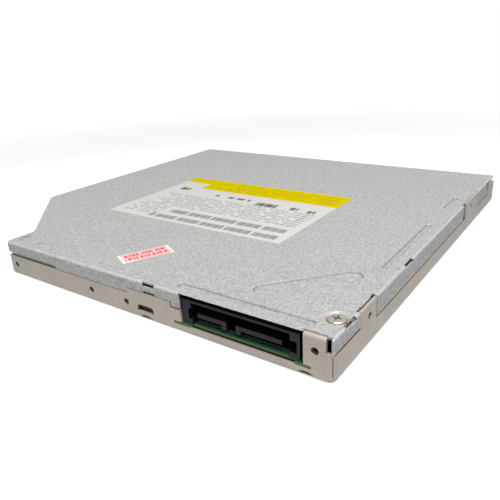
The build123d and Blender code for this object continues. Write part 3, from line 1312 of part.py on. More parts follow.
def make_tray(runners):
    """Return the moulded tray with its disc well, runners, front wall and openings."""
    front = FRONT + TRAY_FRONT_GAP
    wall_y = (front, front + TRAY_FRONT_WALL)
    tray = plate(tray_outline(), TRAY_BOTTOM, TRAY_TOP)
    tray -= post(DISC_X, DISC_Y, DISC_R + DISC_WELL_MARGIN, WELL_FLOOR, HEIGHT)
    finger = post(DISC_R + FINGER_OUT, 0, FINGER_R, WELL_FLOOR, HEIGHT)
    tray -= Pos(DISC_X, DISC_Y, 0) * Rot(0, 0, FINGER_ANGLE) * finger
    tray -= TRAVERSE * plate(tray_opening(), 0, HEIGHT)
    tray -= TRAVERSE * plate(grown(cover_plate_outline(), FIT / 2), WELL_FLOOR - PLATE_SHEET, HEIGHT)
    for piece in (*runners, *eject_holders()):
        tray += piece
    low_wall_x = (INNER_LEFT + TRAY_SIDE_GAP, INNER_STEP - 2 * FIT)
    tray += block(low_wall_x, wall_y, (TRAY_FRONT_BOTTOM, TRAY_BOTTOM))
    pocket_x = (SWITCH_X - POCKET_HALF, SWITCH_X + POCKET_HALF)
    tray -= block(pocket_x, (wall_y[1], front + POCKET_END), (0, POCKET_TOP))
    for x, radius in ((SWITCH_X, SWITCH_HOLE_R), (LAMP_X, LAMP_HOLE_R), (RELEASE_X, RELEASE_R)):
        tray -= rod((x, FRONT, SWITCH_Z), (x, wall_y[1] + 2 * FIT, SWITCH_Z), radius)
    for x, y in DAMPER_PLACES:
        tray -= TRAVERSE * post(x, y, SCREW_SHANK_R, TRAY_BOTTOM, TRAY_BOTTOM + DAMPER_SCREW_GRIP)
    return tray - post(LEVER_X, LEVER_Y, LEVER_PIN_R, TRAY_BOTTOM, TRAY_BOTTOM + LEVER_PIN_GRIP)


# Front switch and lamp

def behind_front():
    """Return where the back of the tray's front wall lies, by y."""
    return FRONT + TRAY_FRONT_GAP + TRAY_FRONT_WALL


def make_front_board():
    """Return the small board that closes the pocket in the tray's front corner."""
    board_x = (SWITCH_X - FRONT_BOARD_HALF, SWITCH_X + FRONT_BOARD_HALF)
    board_y = (behind_front() + FIT, behind_front() + FRONT_BOARD_DEPTH)
    return block(board_x, board_y, (TRAY_BOTTOM - FRONT_BOARD, TRAY_BOTTOM))


def make_switch_body():
    """Return the body of the eject switch, bored for its plunger."""
    wall = behind_front()
    width, height = SWITCH_SIZE
    body_x = (SWITCH_X - width / 2, SWITCH_X + width / 2)
    body_y = (wall + SWITCH_Y[0], wall + SWITCH_Y[1])
    body = block(body_x, body_y, (TRAY_BOTTOM, TRAY_BOTTOM + height))
    bore_end = wall + SWITCH_BORE_END
    return body - rod((SWITCH_X, wall, SWITCH_Z), (SWITCH_X, bore_end, SWITCH_Z), SWITCH_STEM_R + FIT / 2)


def make_switch_plunger():
    """Return the eject plunger, whose head shows in the tray's front."""
    shoulder = (SWITCH_X, behind_front() + SWITCH_HEAD_END, SWITCH_Z)
    head = rod((SWITCH_X, FRONT + FIT, SWITCH_Z), shoulder, SWITCH_HEAD_R)
    return head + rod(shoulder, (SWITCH_X, behind_front() + SWITCH_STEM_END, SWITCH_Z), SWITCH_STEM_R)


def make_lamp():
    """Return the small activity lamp behind its hole."""
    wall = behind_front()
    width, height = LAMP_SIZE
    body_x = (LAMP_X - width / 2, LAMP_X + width / 2)
    body_y = (wall + LAMP_Y[0], wall + LAMP_Y[1])
    body = block(body_x, body_y, (TRAY_BOTTOM, TRAY_BOTTOM + height))
    tip = (LAMP_X, wall - LAMP_LENS_OUT, SWITCH_Z)
    return body + rod(tip, (LAMP_X, body_y[0], SWITCH_Z), LAMP_LENS_R)


# Lock

def make_lever():
    """Return the lock lever, drawn hooked and turned to where it lies when released."""
    arm = [(LEVER_X + x, LEVER_Y + y) for x, y in LEVER_ARM]
    arm += [(LOCK_PIN_X + x, LOCK_PIN_Y + y) for x, y in LEVER_NOSE]
    lever = plate(outline_of(arm), LEVER_Z, LEVER_Z + LEVER_SHEET)
    lever += post(LEVER_X, LEVER_Y, LEVER_BOSS_R, LEVER_Z - LEVER_BOSS_UNDER, TRAY_BOTTOM - FIT)
    lever -= post(LEVER_X, LEVER_Y, LEVER_PIN_R + FIT / 2, 0, HEIGHT)
    turned = Pos(LEVER_X, LEVER_Y, 0) * Rot(0, 0, -LEVER_SWING) * Pos(-LEVER_X, -LEVER_Y, 0)
    return turned * lever


def make_lever_pin():
    """Return the headed pin that the lever turns on, set in the tray."""
    pin = post(LEVER_X, LEVER_Y, LEVER_PIN_R, LEVER_PIN_HEAD_Z[1], TRAY_BOTTOM + LEVER_PIN_GRIP)
    return pin + post(LEVER_X, LEVER_Y, LEVER_PIN_HEAD_R, *LEVER_PIN_HEAD_Z)


def make_solenoid():
    """Return the lock's solenoid: a bent frame round its coil, bored for the plunger."""
    front, back = SOLENOID_FRONT, SOLENOID_FRONT + SOLENOID_LENGTH
    frame_x = (SOLENOID_X - SOLENOID_HALF, SOLENOID_X + SOLENOID_HALF)
    inside_y = (front + SOLENOID_SHEET, back - SOLENOID_SHEET)
    body = block(frame_x, (front, back), (SOLENOID_BOTTOM, TRAY_BOTTOM))
    body -= block(frame_x, inside_y, (SOLENOID_BOTTOM, TRAY_BOTTOM - SOLENOID_ROOF))
    body += along_plunger(*inside_y, COIL_R)
    return body - along_plunger(front, back - BORE_END, PLUNGER_R + FIT / 2)


def along_plunger(start_y, end_y, radius):
    """Return a round rod on the solenoid's line."""
    return rod((SOLENOID_X, start_y, SOLENOID_Z), (SOLENOID_X, end_y, SOLENOID_Z), radius)


def make_plunger():
    """Return the solenoid's plunger, which pulls on the lever's tail."""
    travel = radians(LEVER_SWING) * LEVER_TAIL
    return along_plunger(SOLENOID_FRONT - travel - PLUNGER_OUT, SOLENOID_FRONT + PLUNGER_BACK, PLUNGER_R)


def make_lock_pin():
    """Return the pin riveted to the case's floor that the lever hooks."""
    return post(LOCK_PIN_X, LOCK_PIN_Y, LOCK_PIN_R, CASE_SHEET, LOCK_PIN_TOP)


# Eject slider


def eject_rod_span():
    """Return the front end of the eject slider and the back of its head, by y."""
    return REAR - TRAY_REAR_GAP - EJECT_ROD_REACH, REAR - 2 * CASE_SHEET - EJECT_REAR_GAP


def make_eject_slider():
    """Return the slider that pushes the released tray off the rear wall, with its head."""
    start, end = eject_rod_span()
    head_x = (EJECT_X - EJECT_HEAD_HALF, EJECT_X + EJECT_HEAD_HALF)
    head_z = (EJECT_Z - EJECT_HEAD_THICK / 2, EJECT_Z + EJECT_HEAD_THICK / 2)
    head = block(head_x, (end - EJECT_HEAD, end), head_z)
    return head + rod((EJECT_X, start, EJECT_Z), (EJECT_X, end - EJECT_HEAD, EJECT_Z), EJECT_ROD_R)


def eject_holders():
    """Return the two lugs under the tray that the eject slider runs in."""
    start, end = eject_rod_span()
    bore = rod((EJECT_X, start, EJECT_Z), (EJECT_X, end, EJECT_Z), EJECT_ROD_R + FIT / 2)
    lug_x = (EJECT_X - EJECT_LUG_HALF, EJECT_X + EJECT_LUG_HALF)
    lug_z = (EJECT_Z - EJECT_LUG_UNDER, TRAY_BOTTOM)
    rear = REAR - TRAY_REAR_GAP
    backs = (rear, rear - EJECT_LUG_PITCH)
    return [block(lug_x, (back - EJECT_LUG, back), lug_z) - bore for back in backs]


# Paper

def stripe_outline():
    """Return the coloured stripe's outline, half as deep at one end."""
    middle = sum(STRIPE_Y) / 2
    return outline_of([
        (STRIPE_X[0], STRIPE_Y[0]), (STRIPE_END, STRIPE_Y[0]), (STRIPE_END, middle),
        (STRIPE_X[1], middle), (STRIPE_X[1], STRIPE_Y[1]), (STRIPE_X[0], STRIPE_Y[1])])


def make_label():
    """Return the white rating label, cut out for the coloured stripe."""
    label = block(LABEL_X, LABEL_Y, (HEIGHT, HEIGHT + PAPER))
    return label - plate(stripe_outline(), HEIGHT, HEIGHT + PAPER)


def make_stripe():
    """Return the coloured stripe beside the label, narrower at one end."""
    return plate(stripe_outline(), HEIGHT, HEIGHT + PAPER)


def make_seal():
    """Return the small seal sticker."""
    sticker = Box(SEAL_LENGTH, SEAL_WIDTH, PAPER)
    return Pos(SEAL_X, SEAL_Y, HEIGHT + PAPER / 2) * Rot(0, 0, SEAL_ANGLE) * sticker


def build_parts():
    """Return every piece by the name of its node."""
    rails, runners = make_rails()
    parts = {
        "bottom_case": make_bottom_case(),
        "top_cover": make_top_cover(),
        "cover_screw": make_cover_screw(),
        "main_board": make_main_board(),
        "board_screws": make_board_screws(),
        "connector_housing": make_connector_housing(),
        "connector_contacts": make_contacts(),
        "capacitors": make_capacitors(),
        "oscillator": make_oscillator(),
        "flex_socket": make_flex_socket(),
        "flex_cable": make_flex_cable(),
        "rating_label": make_label(),
        "label_stripe": make_stripe(),
        "seal_sticker": make_seal(),
        "lock_pin": make_lock_pin(),
        "tray": make_tray(runners),
        "front_board": make_front_board(),
        "eject_switch_body": make_switch_body(),
        "eject_switch_plunger": make_switch_plunger(),
        "activity_lamp": make_lamp(),
        "lock_lever": make_lever(),
        "lever_pin": make_lever_pin(),
        "lock_solenoid": make_solenoid(),
        "solenoid_plunger": make_plunger(),
        "eject_slider": make_eject_slider(),
    }
    parts.update(make_board_chips())
    parts.update(rails)
    traverse = {
        "traverse_chassis": make_chassis(),
        "traverse_dampers": make_dampers(),
        "damper_screws": make_damper_screws(),
        "guide_shafts": make_guide_shafts(),
        "motor_base": make_motor_base(),
        "spindle_bearing": make_bearing(),
        "motor_stator": make_stator(),
        "turntable_rotor": make_rotor(),
        "rotor_magnet": make_magnet(),
        "spindle_shaft": make_spindle(),
        "turntable_ring": make_turntable_ring(),
        "feed_motor": make_feed_motor(),
        "lead_screw": make_lead_screw(),
        "pickup_sled": make_sled(),
        "lens_holder": make_lens_holder(),
        "objective_lens": make_lens(),
        "actuator_yoke": make_yoke(),
        "screw_follower": make_rack(),
        "traverse_cover": make_traverse_cover(),
    }
    for number, angle in enumerate(claw_angles(), start=1):
        traverse[f"clamp_claw_{number}"] = make_claw(angle)
    for name, shape in traverse.items():
        solids = shape if isinstance(shape, list) else [shape]
        parts[name] = [TRAVERSE * solid for solid in solids]
    return parts


def write_parts():
    """Write one file for each piece."""
    os.makedirs("parts", exist_ok=True)
    for name, shape in build_parts().items():
        whole = Compound(children=shape) if isinstance(shape, list) else shape
        export_step(whole, f"parts/{name}.step")


write_parts()
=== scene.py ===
"""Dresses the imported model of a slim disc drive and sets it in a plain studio."""

import json
import logging
import math
from dataclasses import dataclass
from enum import Enum
from typing import Any, ClassVar, Iterable, Sequence

import bmesh
import bpy
from mathutils import Matrix, Quaternion, Vector

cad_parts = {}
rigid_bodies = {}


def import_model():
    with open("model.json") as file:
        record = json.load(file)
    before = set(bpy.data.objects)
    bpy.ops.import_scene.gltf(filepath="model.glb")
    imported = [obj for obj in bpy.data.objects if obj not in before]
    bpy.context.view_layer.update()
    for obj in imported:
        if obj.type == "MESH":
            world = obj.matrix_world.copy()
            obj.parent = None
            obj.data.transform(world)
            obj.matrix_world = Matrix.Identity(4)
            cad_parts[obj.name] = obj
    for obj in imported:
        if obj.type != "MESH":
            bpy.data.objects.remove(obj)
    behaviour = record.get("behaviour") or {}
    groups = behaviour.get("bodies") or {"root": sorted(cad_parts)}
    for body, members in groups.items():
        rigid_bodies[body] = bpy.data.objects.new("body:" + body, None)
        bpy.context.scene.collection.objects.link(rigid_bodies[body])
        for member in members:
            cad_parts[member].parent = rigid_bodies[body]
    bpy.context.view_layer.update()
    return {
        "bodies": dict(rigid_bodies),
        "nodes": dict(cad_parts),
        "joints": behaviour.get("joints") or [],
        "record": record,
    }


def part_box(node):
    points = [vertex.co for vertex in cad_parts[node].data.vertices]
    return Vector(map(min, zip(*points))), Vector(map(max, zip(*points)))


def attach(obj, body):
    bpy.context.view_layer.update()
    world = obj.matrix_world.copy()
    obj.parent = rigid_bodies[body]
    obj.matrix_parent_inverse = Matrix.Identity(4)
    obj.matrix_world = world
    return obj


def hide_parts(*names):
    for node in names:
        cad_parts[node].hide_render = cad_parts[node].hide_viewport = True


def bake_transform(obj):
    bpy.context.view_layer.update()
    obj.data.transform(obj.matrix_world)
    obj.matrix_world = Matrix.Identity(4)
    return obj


MM = 0.001
log = logging.getLogger("drive")

Colour = tuple[float, float, float]
Point = tuple[float, float, float]
Range = tuple[float, float]
Socket = bpy.types.NodeSocket


class Body(Enum):
    """The rigid bodies that pieces ride on."""

    CASE = "case"
    TRAY = "tray"
    LEAD_SCREW = "lead_screw"


class Grain(Enum):
    """The direction in which a metal was rolled, brushed or turned, as how far its grain is drawn out."""

    EVEN = (1.0, 1.0, 1.0)
    ALONG_Y = (1.0, 0.06, 1.0)
    UPRIGHT = (1.0, 1.0, 0.08)
    SLANTED = (1.0, 0.55, 1.0)


class ShaderGraph:
    """Builds one material's nodes round a principled shader."""

    rim_grain: float = 0.6 * MM
    rim_wave: float = 0.5
    rim_start: float = 0.75
    # The settings below shape the painted highlight on edges and the painted shade in gaps.
    edge_width: float = 0.12 * MM
    edge_turn: Range = (0.9, 0.998)
    open_sky: float = 0.96
    edge_samples: int = 4
    gap_samples: int = 8

    def __init__(self, name: str) -> None:
        """Start an empty material.

        Args:
            name: the material's name.
        """
        self.material = bpy.data.materials.new(name)
        self.material.use_nodes = True
        self.tree = self.material.node_tree
        self.tree.nodes.clear()
        self.shader = self.node("ShaderNodeBsdfPrincipled")
        output = self.node("ShaderNodeOutputMaterial")
        self.join(self.shader.outputs["BSDF"], output.inputs["Surface"])
        self.place = self.node("ShaderNodeTexCoord").outputs["Object"]

    def node(self, kind: str, **settings: Any) -> bpy.types.Node:
        """Add a node.

        Args:
            kind: the node's type.
            settings: properties to set on it.

        Returns:
            The new node.
        """
        made = self.tree.nodes.new(kind)
        for key, value in settings.items():
            setattr(made, key, value)
        return made

    def join(self, source: Socket, target: Socket) -> None:
        """Link two sockets."""
        self.tree.links.new(source, target)

    def fixed(self, **values: float) -> None:
        """Set constants on the shader's own sockets, named with underscores for spaces."""
        for key, value in values.items():
            self.shader.inputs[key.replace("_", " ").title().replace("Ior", "IOR")].default_value = value

    def noise(self, size: float, detail: float = 3.0, grain: Grain = Grain.EVEN) -> Socket:
        """Return a soft noise.

        Args:
            size: how large its patches are, in metres.
            detail: how many finer layers it has.
            grain: how it is drawn out.

        Returns:
            The noise, from 0 to 1.
        """
        drawn_out = self.node("ShaderNodeMapping")
        drawn_out.inputs["Scale"].default_value = grain.value
        self.join(self.place, drawn_out.inputs["Vector"])
        made = self.node("ShaderNodeTexNoise")
        made.inputs["Scale"].default_value = 1.0 / size
        made.inputs["Detail"].default_value = detail
        self.join(drawn_out.outputs["Vector"], made.inputs["Vector"])
        return made.outputs["Fac"]

    def cells(self, size: float) -> Socket:
        """Return cells, each with its own random value.

        Args:
            size: how large the cells are, in metres.

        Returns:
            The cells' random colour.
        """
        made = self.node("ShaderNodeTexVoronoi")
        made.inputs["Scale"].default_value = 1.0 / size
        self.join(self.place, made.inputs["Vector"])
        return made.outputs["Color"]

    def spread(self, value: Socket, low: float, high: float, start: float = 0.0, end: float = 1.0) -> Socket:
        """Return a value spread between two others.

        Args:
            value: what is spread.
            low: the result at start.
            high: the result at end.
            start: where the spreading starts.
            end: where it ends.

        Returns:
            The spread value.
        """
        made = self.node("ShaderNodeMapRange")
        for key, number in (("From Min", start), ("From Max", end), ("To Min", low), ("To Max", high)):
            made.inputs[key].default_value = number
        self.join(value, made.inputs["Value"])
        return made.outputs["Result"]

    def mottle(self, value: Socket, colour: Colour, dark: float, bright: float,
               stops: Range = (0.3, 0.7)) -> Socket:
        """Return a colour that a value makes darker and brighter.

        Args:
            value: what changes it.
            colour: the colour.
            dark: the factor on it at the first stop.
            bright: the factor on it at the last stop.
            stops: the values between which it changes.

        Returns:
            The uneven colour.
        """
        made = self.node("ShaderNodeValToRGB")
        for element, stop, factor in zip(made.color_ramp.elements, stops, (dark, bright)):
            element.position = stop
            element.color = (*shade(colour, factor), 1.0)
        self.join(value, made.inputs["Fac"])
        return made.outputs["Color"]

    def mixed(self, amount: Socket, first: Socket, second: Socket) -> Socket:
        """Return two colours mixed.

        Args:
            amount: how much there is of the second.
            first: one colour.
            second: the other colour.

        Returns:
            The mixed colour.
        """
        made = self.node("ShaderNodeMix", data_type="RGBA")
        self.join(amount, made.inputs["Factor"])
        self.join(first, made.inputs["A"])
        self.join(second, made.inputs["B"])
        return next(socket for socket in made.outputs if socket.type == "RGBA")

    def maths(self, operation: str, first: Socket, second: Socket | float = 0.0) -> Socket:
        """Return two values joined by an operation.

        Args:
            operation: the operation.
            first: one value.
            second: the other value, where the operation takes two.

        Returns:
            The result.
        """
        made = self.node("ShaderNodeMath", operation=operation)
        self.join(first, made.inputs[0])
        if isinstance(second, float):
            made.inputs[1].default_value = second
        else:
            self.join(second, made.inputs[1])
        return made.outputs["Value"]

    def weighed(self, first: Socket, second: Socket, share: float) -> Socket:
        """Return two values added, where the first has a share and the second the rest."""
        rest = self.maths("MULTIPLY", second, 1.0 - share)
        return self.maths("ADD", self.maths("MULTIPLY", first, share), rest)

    def part(self, vector: Socket, letter: str) -> Socket:
        """Return one coordinate of a vector.

        Args:
            vector: the vector.
            letter: the coordinate's letter.

        Returns:
            The coordinate.
        """
        made = self.node("ShaderNodeSeparateXYZ")
        self.join(vector, made.inputs["Vector"])
        return made.outputs[letter]

    def facing(self, letter: str) -> Socket:
        """Return how far the surface faces along one axis, whichever way."""
        normal = self.node("ShaderNodeNewGeometry").outputs["Normal"]
        return self.maths("ABSOLUTE", self.part(normal, letter))

    def bands(self, letter: str, pitch: float, seam: Range) -> Socket:
        """Return 0 at seams that repeat along an axis of the object, and 1 between them.

        Args:
            letter: the axis.
            pitch: how far the seams lie apart, in metres.
            seam: where the seam ends and where the band is whole, as parts of the pitch.

        Returns:
            How much of the band there is.
        """
        along = self.maths("FRACT", self.maths("MULTIPLY", self.part(self.place, letter), 1.0 / pitch))
        return self.spread(self.maths("PINGPONG", along, 0.5), 0.0, 1.0, *seam)

    def near(self, spot: Point, reach: Point) -> Socket:
        """Return 1 at a spot on the object, falling to 0 at its uneven rim.

        Args:
            spot: where it lies, in metres.
            reach: how far it reaches along each axis, in metres.

        Returns:
            How much of the spot there is.
        """
        away = self.node("ShaderNodeVectorMath", operation="SUBTRACT")
        away.inputs[1].default_value = spot
        self.join(self.place, away.inputs[0])
        scaled = self.node("ShaderNodeVectorMath", operation="DIVIDE")
        scaled.inputs[1].default_value = reach
        self.join(away.outputs["Vector"], scaled.inputs[0])
        length = self.node("ShaderNodeVectorMath", operation="LENGTH")
        self.join(scaled.outputs["Vector"], length.inputs[0])
        wave = self.spread(self.noise(self.rim_grain), -self.rim_wave, self.rim_wave)
        return self.spread(self.maths("ADD", length.outputs["Value"], wave), 1.0, 0.0, self.rim_start, 1.0)

    def rounded(self, radius: float) -> Socket:
        """Return the surface's normals with a round on each edge.

        Args:
            radius: the round's radius, in metres.

        Returns:
            The normals.
        """
        bevel = self.node("ShaderNodeBevel", samples=self.edge_samples)
        bevel.inputs["Radius"].default_value = radius
        return bevel.outputs["Normal"]

    def edge_highlight_and_gap_shade(self, base: Socket, bright: float, dark: float, reach: float, start: float = 0.3) -> Socket:
        """Return a colour with a painted highlight along edges and painted shade down in gaps and holes.

        Args:
            base: the colour of the open surface.
            bright: how much brighter the painted highlight makes an edge.
            dark: what is left of the colour under the painted shade at the bottom of a gap.
            reach: how wide a gap still counts as one, in metres.
            start: how shut in a point is where the painted shade is full.

        Returns:
            The colour.
        """
        # Painted highlight: edges brighten where the rounded normal turns away from the flat one.
        across = self.node("ShaderNodeVectorMath", operation="DOT_PRODUCT")
        self.join(self.rounded(self.edge_width), across.inputs[0])
        self.join(self.node("ShaderNodeNewGeometry").outputs["Normal"], across.inputs[1])
        edge = self.spread(across.outputs["Value"], 1.0 + bright, 1.0, *self.edge_turn)
        # Painted shade: gaps, holes and creases darken by how shut in each point is.
        recess = self.node("ShaderNodeAmbientOcclusion", samples=self.gap_samples, only_local=True)
        recess.inputs["Distance"].default_value = reach
        depth = self.spread(recess.outputs["AO"], dark, 1.0, start, self.open_sky)
        made = self.node("ShaderNodeVectorMath", operation="SCALE")
        self.join(base, made.inputs[0])
        self.join(self.maths("MULTIPLY", edge, depth), made.inputs["Scale"])
        return made.outputs["Vector"]

    def relief(self, height: Socket, depth: float, strength: float, edge: float = 0.0) -> None:
        """Give the surface a relief, and its edges a small round.

        Args:
            height: the relief's height, from 0 to 1.
            depth: what a height of 1 measures, in metres.
            strength: how strongly it shows, and below 0 the other way round.
            edge: the radius of the round on each edge, in metres.
        """
        bump = self.node("ShaderNodeBump")
        bump.inputs["Strength"].default_value = strength
        bump.inputs["Distance"].default_value = depth
        self.join(height, bump.inputs["Height"])
        if edge:
            self.join(self.rounded(edge), bump.inputs["Normal"])
        self.join(bump.outputs["Normal"], self.shader.inputs["Normal"])

    def colour(self, value: Socket) -> None:
        """Lead a colour to the shader."""
        self.join(value, self.shader.inputs["Base Color"])

    def roughness(self, value: Socket, low: float, high: float, start: float = 0.0, end: float = 1.0) -> None:
        """Lead a value to the shader's roughness, spread between two others."""
        self.join(self.spread(value, low, high, start, end), self.shader.inputs["Roughness"])


def shade(colour: Colour, amount: float) -> Colour:
    """Return a colour made lighter or darker by a factor."""
    return tuple(min(1.0, channel * amount) for channel in colour)


@dataclass(frozen=True)
class Finish:
    """A surface finish, made into a material once."""

    name: str
    slot: str

    def material(self) -> bpy.types.Material:
        """Return the finish's material, built at its first use.

        Returns:
            The material.
        """
        known = bpy.data.materials.get(self.name)
        if known:
            return known
        graph = ShaderGraph(self.name)
        self.build(graph)
        return graph.material

    def build(self, graph: ShaderGraph) -> None:
        """Add the finish's own nodes to a graph."""
        raise NotImplementedError


@dataclass(frozen=True)
class SpangledZinc(Finish):
    """Zinc-coated sheet with its fine crystal flecks, scraped bare at one edge, with a painted highlight on
    pressed slopes and edges and painted shade in gaps.
    """

    colour: Colour = (0.365, 0.370, 0.362)
    contrast: float = 0.24
    stops: Range = (0.32, 0.68)
    fleck: float = 0.5 * MM
    cell_share: float = 0.3
    patch: float = 14.0 * MM
    patch_light: float = 0.03
    # How much painted highlight lightens the pressed slopes, and over which tilts.
    slope_highlight: float = 0.16
    slope_low: Range = (0.3, 0.6)
    slope_high: Range = (0.97, 0.998)
    scrape: Point = (0.0337, 0.0586, 0.0095)
    scrape_reach: Point = (0.0009, 0.0022, 0.001)
    bare: Colour = (0.24, 0.19, 0.13)
    bare_shades: Range = (0.8, 1.2)
    edge: float = 0.12 * MM
    # The painted highlight on edges, and the painted shade in gaps and how far it reaches.
    edge_highlight: float = 0.3
    gap_shade: float = 0.3
    gap_reach: float = 0.7 * MM
    gap_full: float = 0.68
    rough: Range = (0.55, 0.30)
    rough_stops: Range = (0.3, 0.7)
    metallic: float = 0.15
    specular: float = 0.25
    depth: float = 0.02 * MM
    strength: float = 0.6

    def build(self, graph: ShaderGraph) -> None:
        """Mix flecks and short bright scales into colour, gloss and relief, with a painted highlight on
        pressed slopes and edges and painted shade in gaps.

        Args:
            graph: the graph that takes the nodes.
        """
        fine = graph.cells(self.fleck)
        scales = graph.noise(self.fleck, grain=Grain.SLANTED)
        clouds = graph.spread(graph.noise(self.patch, 2.0), -self.patch_light, self.patch_light)
        # Painted highlight: the pressed slopes of ribs and dimples are lightened by their tilt.
        upward = graph.facing("Z")
        rising = graph.spread(upward, 0.0, 1.0, *self.slope_low)
        slopes = graph.maths("MULTIPLY", rising, graph.spread(upward, 1.0, 0.0, *self.slope_high))
        light = graph.maths("ADD", graph.weighed(fine, scales, self.cell_share), clouds)
        light = graph.maths("ADD", light, graph.maths("MULTIPLY", slopes, self.slope_highlight))
        sheet = graph.mottle(light, self.colour, 1.0 - self.contrast, 1.0 + self.contrast, self.stops)
        bare = graph.mottle(fine, self.bare, *self.bare_shades)
        scraped = graph.mixed(graph.near(self.scrape, self.scrape_reach), sheet, bare)
        # Edges get a painted highlight, and gaps, holes and rib feet painted shade.
        graph.colour(graph.edge_highlight_and_gap_shade(scraped, self.edge_highlight, self.gap_shade, self.gap_reach, self.gap_full))
        graph.roughness(scales, *self.rough, *self.rough_stops)
        graph.fixed(metallic=self.metallic, specular_ior_level=self.specular)
        graph.relief(scales, self.depth, self.strength, self.edge)


@dataclass(frozen=True)
class RolledMetal(Finish):
    """Plated or bare metal with a rolled, brushed or turned grain, a painted highlight on its edges and
    painted shade in its gaps and holes.
    """

    colour: Colour
    rough: float
    metallic: float
    grain: Grain = Grain.EVEN
    grain_size: float = 0.35 * MM
    contrast: float = 0.08
    depth: float = 0.006 * MM
    # What is left of the colour under the painted shade at the bottom of gaps.
    gap_shade: float = 0.12
    edge: float = 0.1 * MM
    grain_detail: float = 4.0
    grain_share: float = 0.6
    patch: float = 9.0 * MM
    # How much the painted highlight lightens edges.
    edge_highlight: float = 0.15
    gap_reach: float = 1.2 * MM
    rough_below: float = 0.05
    rough_above: float = 0.09
    strength: float = 0.5

    def build(self, graph: ShaderGraph) -> None:
        """Draw the grain into the colour, the gloss and the relief, with a painted highlight on edges and
        painted shade in gaps.

        Args:
            graph: the graph that takes the nodes.
        """
        lines = graph.noise(self.grain_size, self.grain_detail, self.grain)
        clouds = graph.noise(self.patch)
        tone = graph.weighed(lines, clouds, self.grain_share)
        sheet = graph.mottle(tone, self.colour, 1.0 - self.contrast, 1.0 + self.contrast)
        # Edges get a painted highlight and gaps and holes painted shade.
        graph.colour(graph.edge_highlight_and_gap_shade(sheet, self.edge_highlight, self.gap_shade, self.gap_reach))
        graph.roughness(clouds, self.rough - self.rough_below, self.rough + self.rough_above)
        graph.fixed(metallic=self.metallic)
        graph.relief(lines, self.depth, self.strength, self.edge)


@dataclass(frozen=True)
class MouldedPlastic(Finish):
    """Moulded plastic with a fine eroded texture."""

    colour: Colour
    rough: float = 0.5
    texture: float = 0.18 * MM
    depth: float = 0.01 * MM
    edge: float = 0.12 * MM
    patch: float = 6.0 * MM
    shades: Range = (0.85, 1.2)
    rough_below: float = 0.07
    rough_above: float = 0.08
    specular: float = 0.35
    strength: float = 0.6

    def build(self, graph: ShaderGraph) -> None:
        """Add the texture's relief and a slight unevenness of tone and gloss.

        Args:
            graph: the graph that takes the nodes.
        """
        clouds = graph.noise(self.patch)
        graph.colour(self.tone(graph))
        graph.roughness(clouds, self.rough - self.rough_below, self.rough + self.rough_above)
        graph.fixed(specular_ior_level=self.specular)
        graph.relief(graph.noise(self.texture), self.depth, self.strength, self.edge)

    def tone(self, graph: ShaderGraph) -> Socket:
        """Return the plastic's slightly uneven colour."""
        return graph.mottle(graph.noise(self.patch), self.colour, *self.shades)


@dataclass(frozen=True)
class KeyedPlastic(MouldedPlastic):
    """Moulded plastic of a socket: grey on the faces cut square to its mouth, and painted near black as shade
    on the faces within.
    """

    shades: Range = (0.9, 1.15)
    specular: float = 0.12
    # Near black painted on the faces within the socket as shade.
    painted_wall_shade: Colour = (0.0025, 0.0025, 0.003)
    inside_shades: Range = (0.8, 1.3)
    inside_patch: float = 2.0 * MM
    mouth: Range = (0.6, 0.8)

    def tone(self, graph: ShaderGraph) -> Socket:
        """Return the grey of the front faces and the painted shade of the faces behind them.

        Args:
            graph: the graph that takes the nodes.

        Returns:
            The colour.
        """
        mottle = graph.noise(self.inside_patch)
        shaded_wall_tone = graph.mottle(mottle, self.painted_wall_shade, *self.inside_shades)
        faces = graph.mottle(mottle, self.colour, *self.shades)
        # Faces along the mouth keep the grey; all others get the painted shade.
        return graph.mixed(graph.spread(graph.facing("Y"), 0.0, 1.0, *self.mouth), shaded_wall_tone, faces)


@dataclass(frozen=True)
class SolderMask(Finish):
    """A circuit board: lacquered faces with buried tracks, and a paler cut edge."""

    colour: Colour = (0.012, 0.055, 0.026)
    core: Colour = (0.085, 0.13, 0.05)
    core_shades: Range = (0.8, 1.15)
    block: float = 4.4 * MM
    block_shade: float = 0.82
    track: float = 0.045
    track_shade: float = 1.55
    fibre: float = 0.35 * MM
    cut: Range = (0.4, 0.6)
    rough: Range = (0.28, 0.7)
    coat: float = 0.1
    coat_rough: float = 0.3
    specular: float = 0.3
    depth: float = 0.02 * MM
    strength: float = -0.5
    edge: float = 0.05 * MM

    def build(self, graph: ShaderGraph) -> None:
        """Draw tracks and pads under the lacquer, and turn the cut edges paler.

        Args:
            graph: the graph that takes the nodes.
        """
        tracks = graph.node("ShaderNodeTexBrick")
        tracks.inputs["Scale"].default_value = 1.0 / self.block
        tracks.inputs["Mortar Size"].default_value = self.track
        for key, factor in (("Color1", 1.0), ("Color2", self.block_shade), ("Mortar", self.track_shade)):
            tracks.inputs[key].default_value = (*shade(self.colour, factor), 1.0)
        graph.join(graph.place, tracks.inputs["Vector"])
        edge = graph.mottle(graph.noise(self.fibre), self.core, *self.core_shades)
        upright = graph.spread(graph.facing("Z"), 1.0, 0.0, *self.cut)
        graph.colour(graph.mixed(upright, tracks.outputs["Color"], edge))
        graph.roughness(upright, *self.rough)
        graph.fixed(coat_weight=self.coat, coat_roughness=self.coat_rough, specular_ior_level=self.specular)
        graph.relief(tracks.outputs["Fac"], self.depth, self.strength, self.edge)


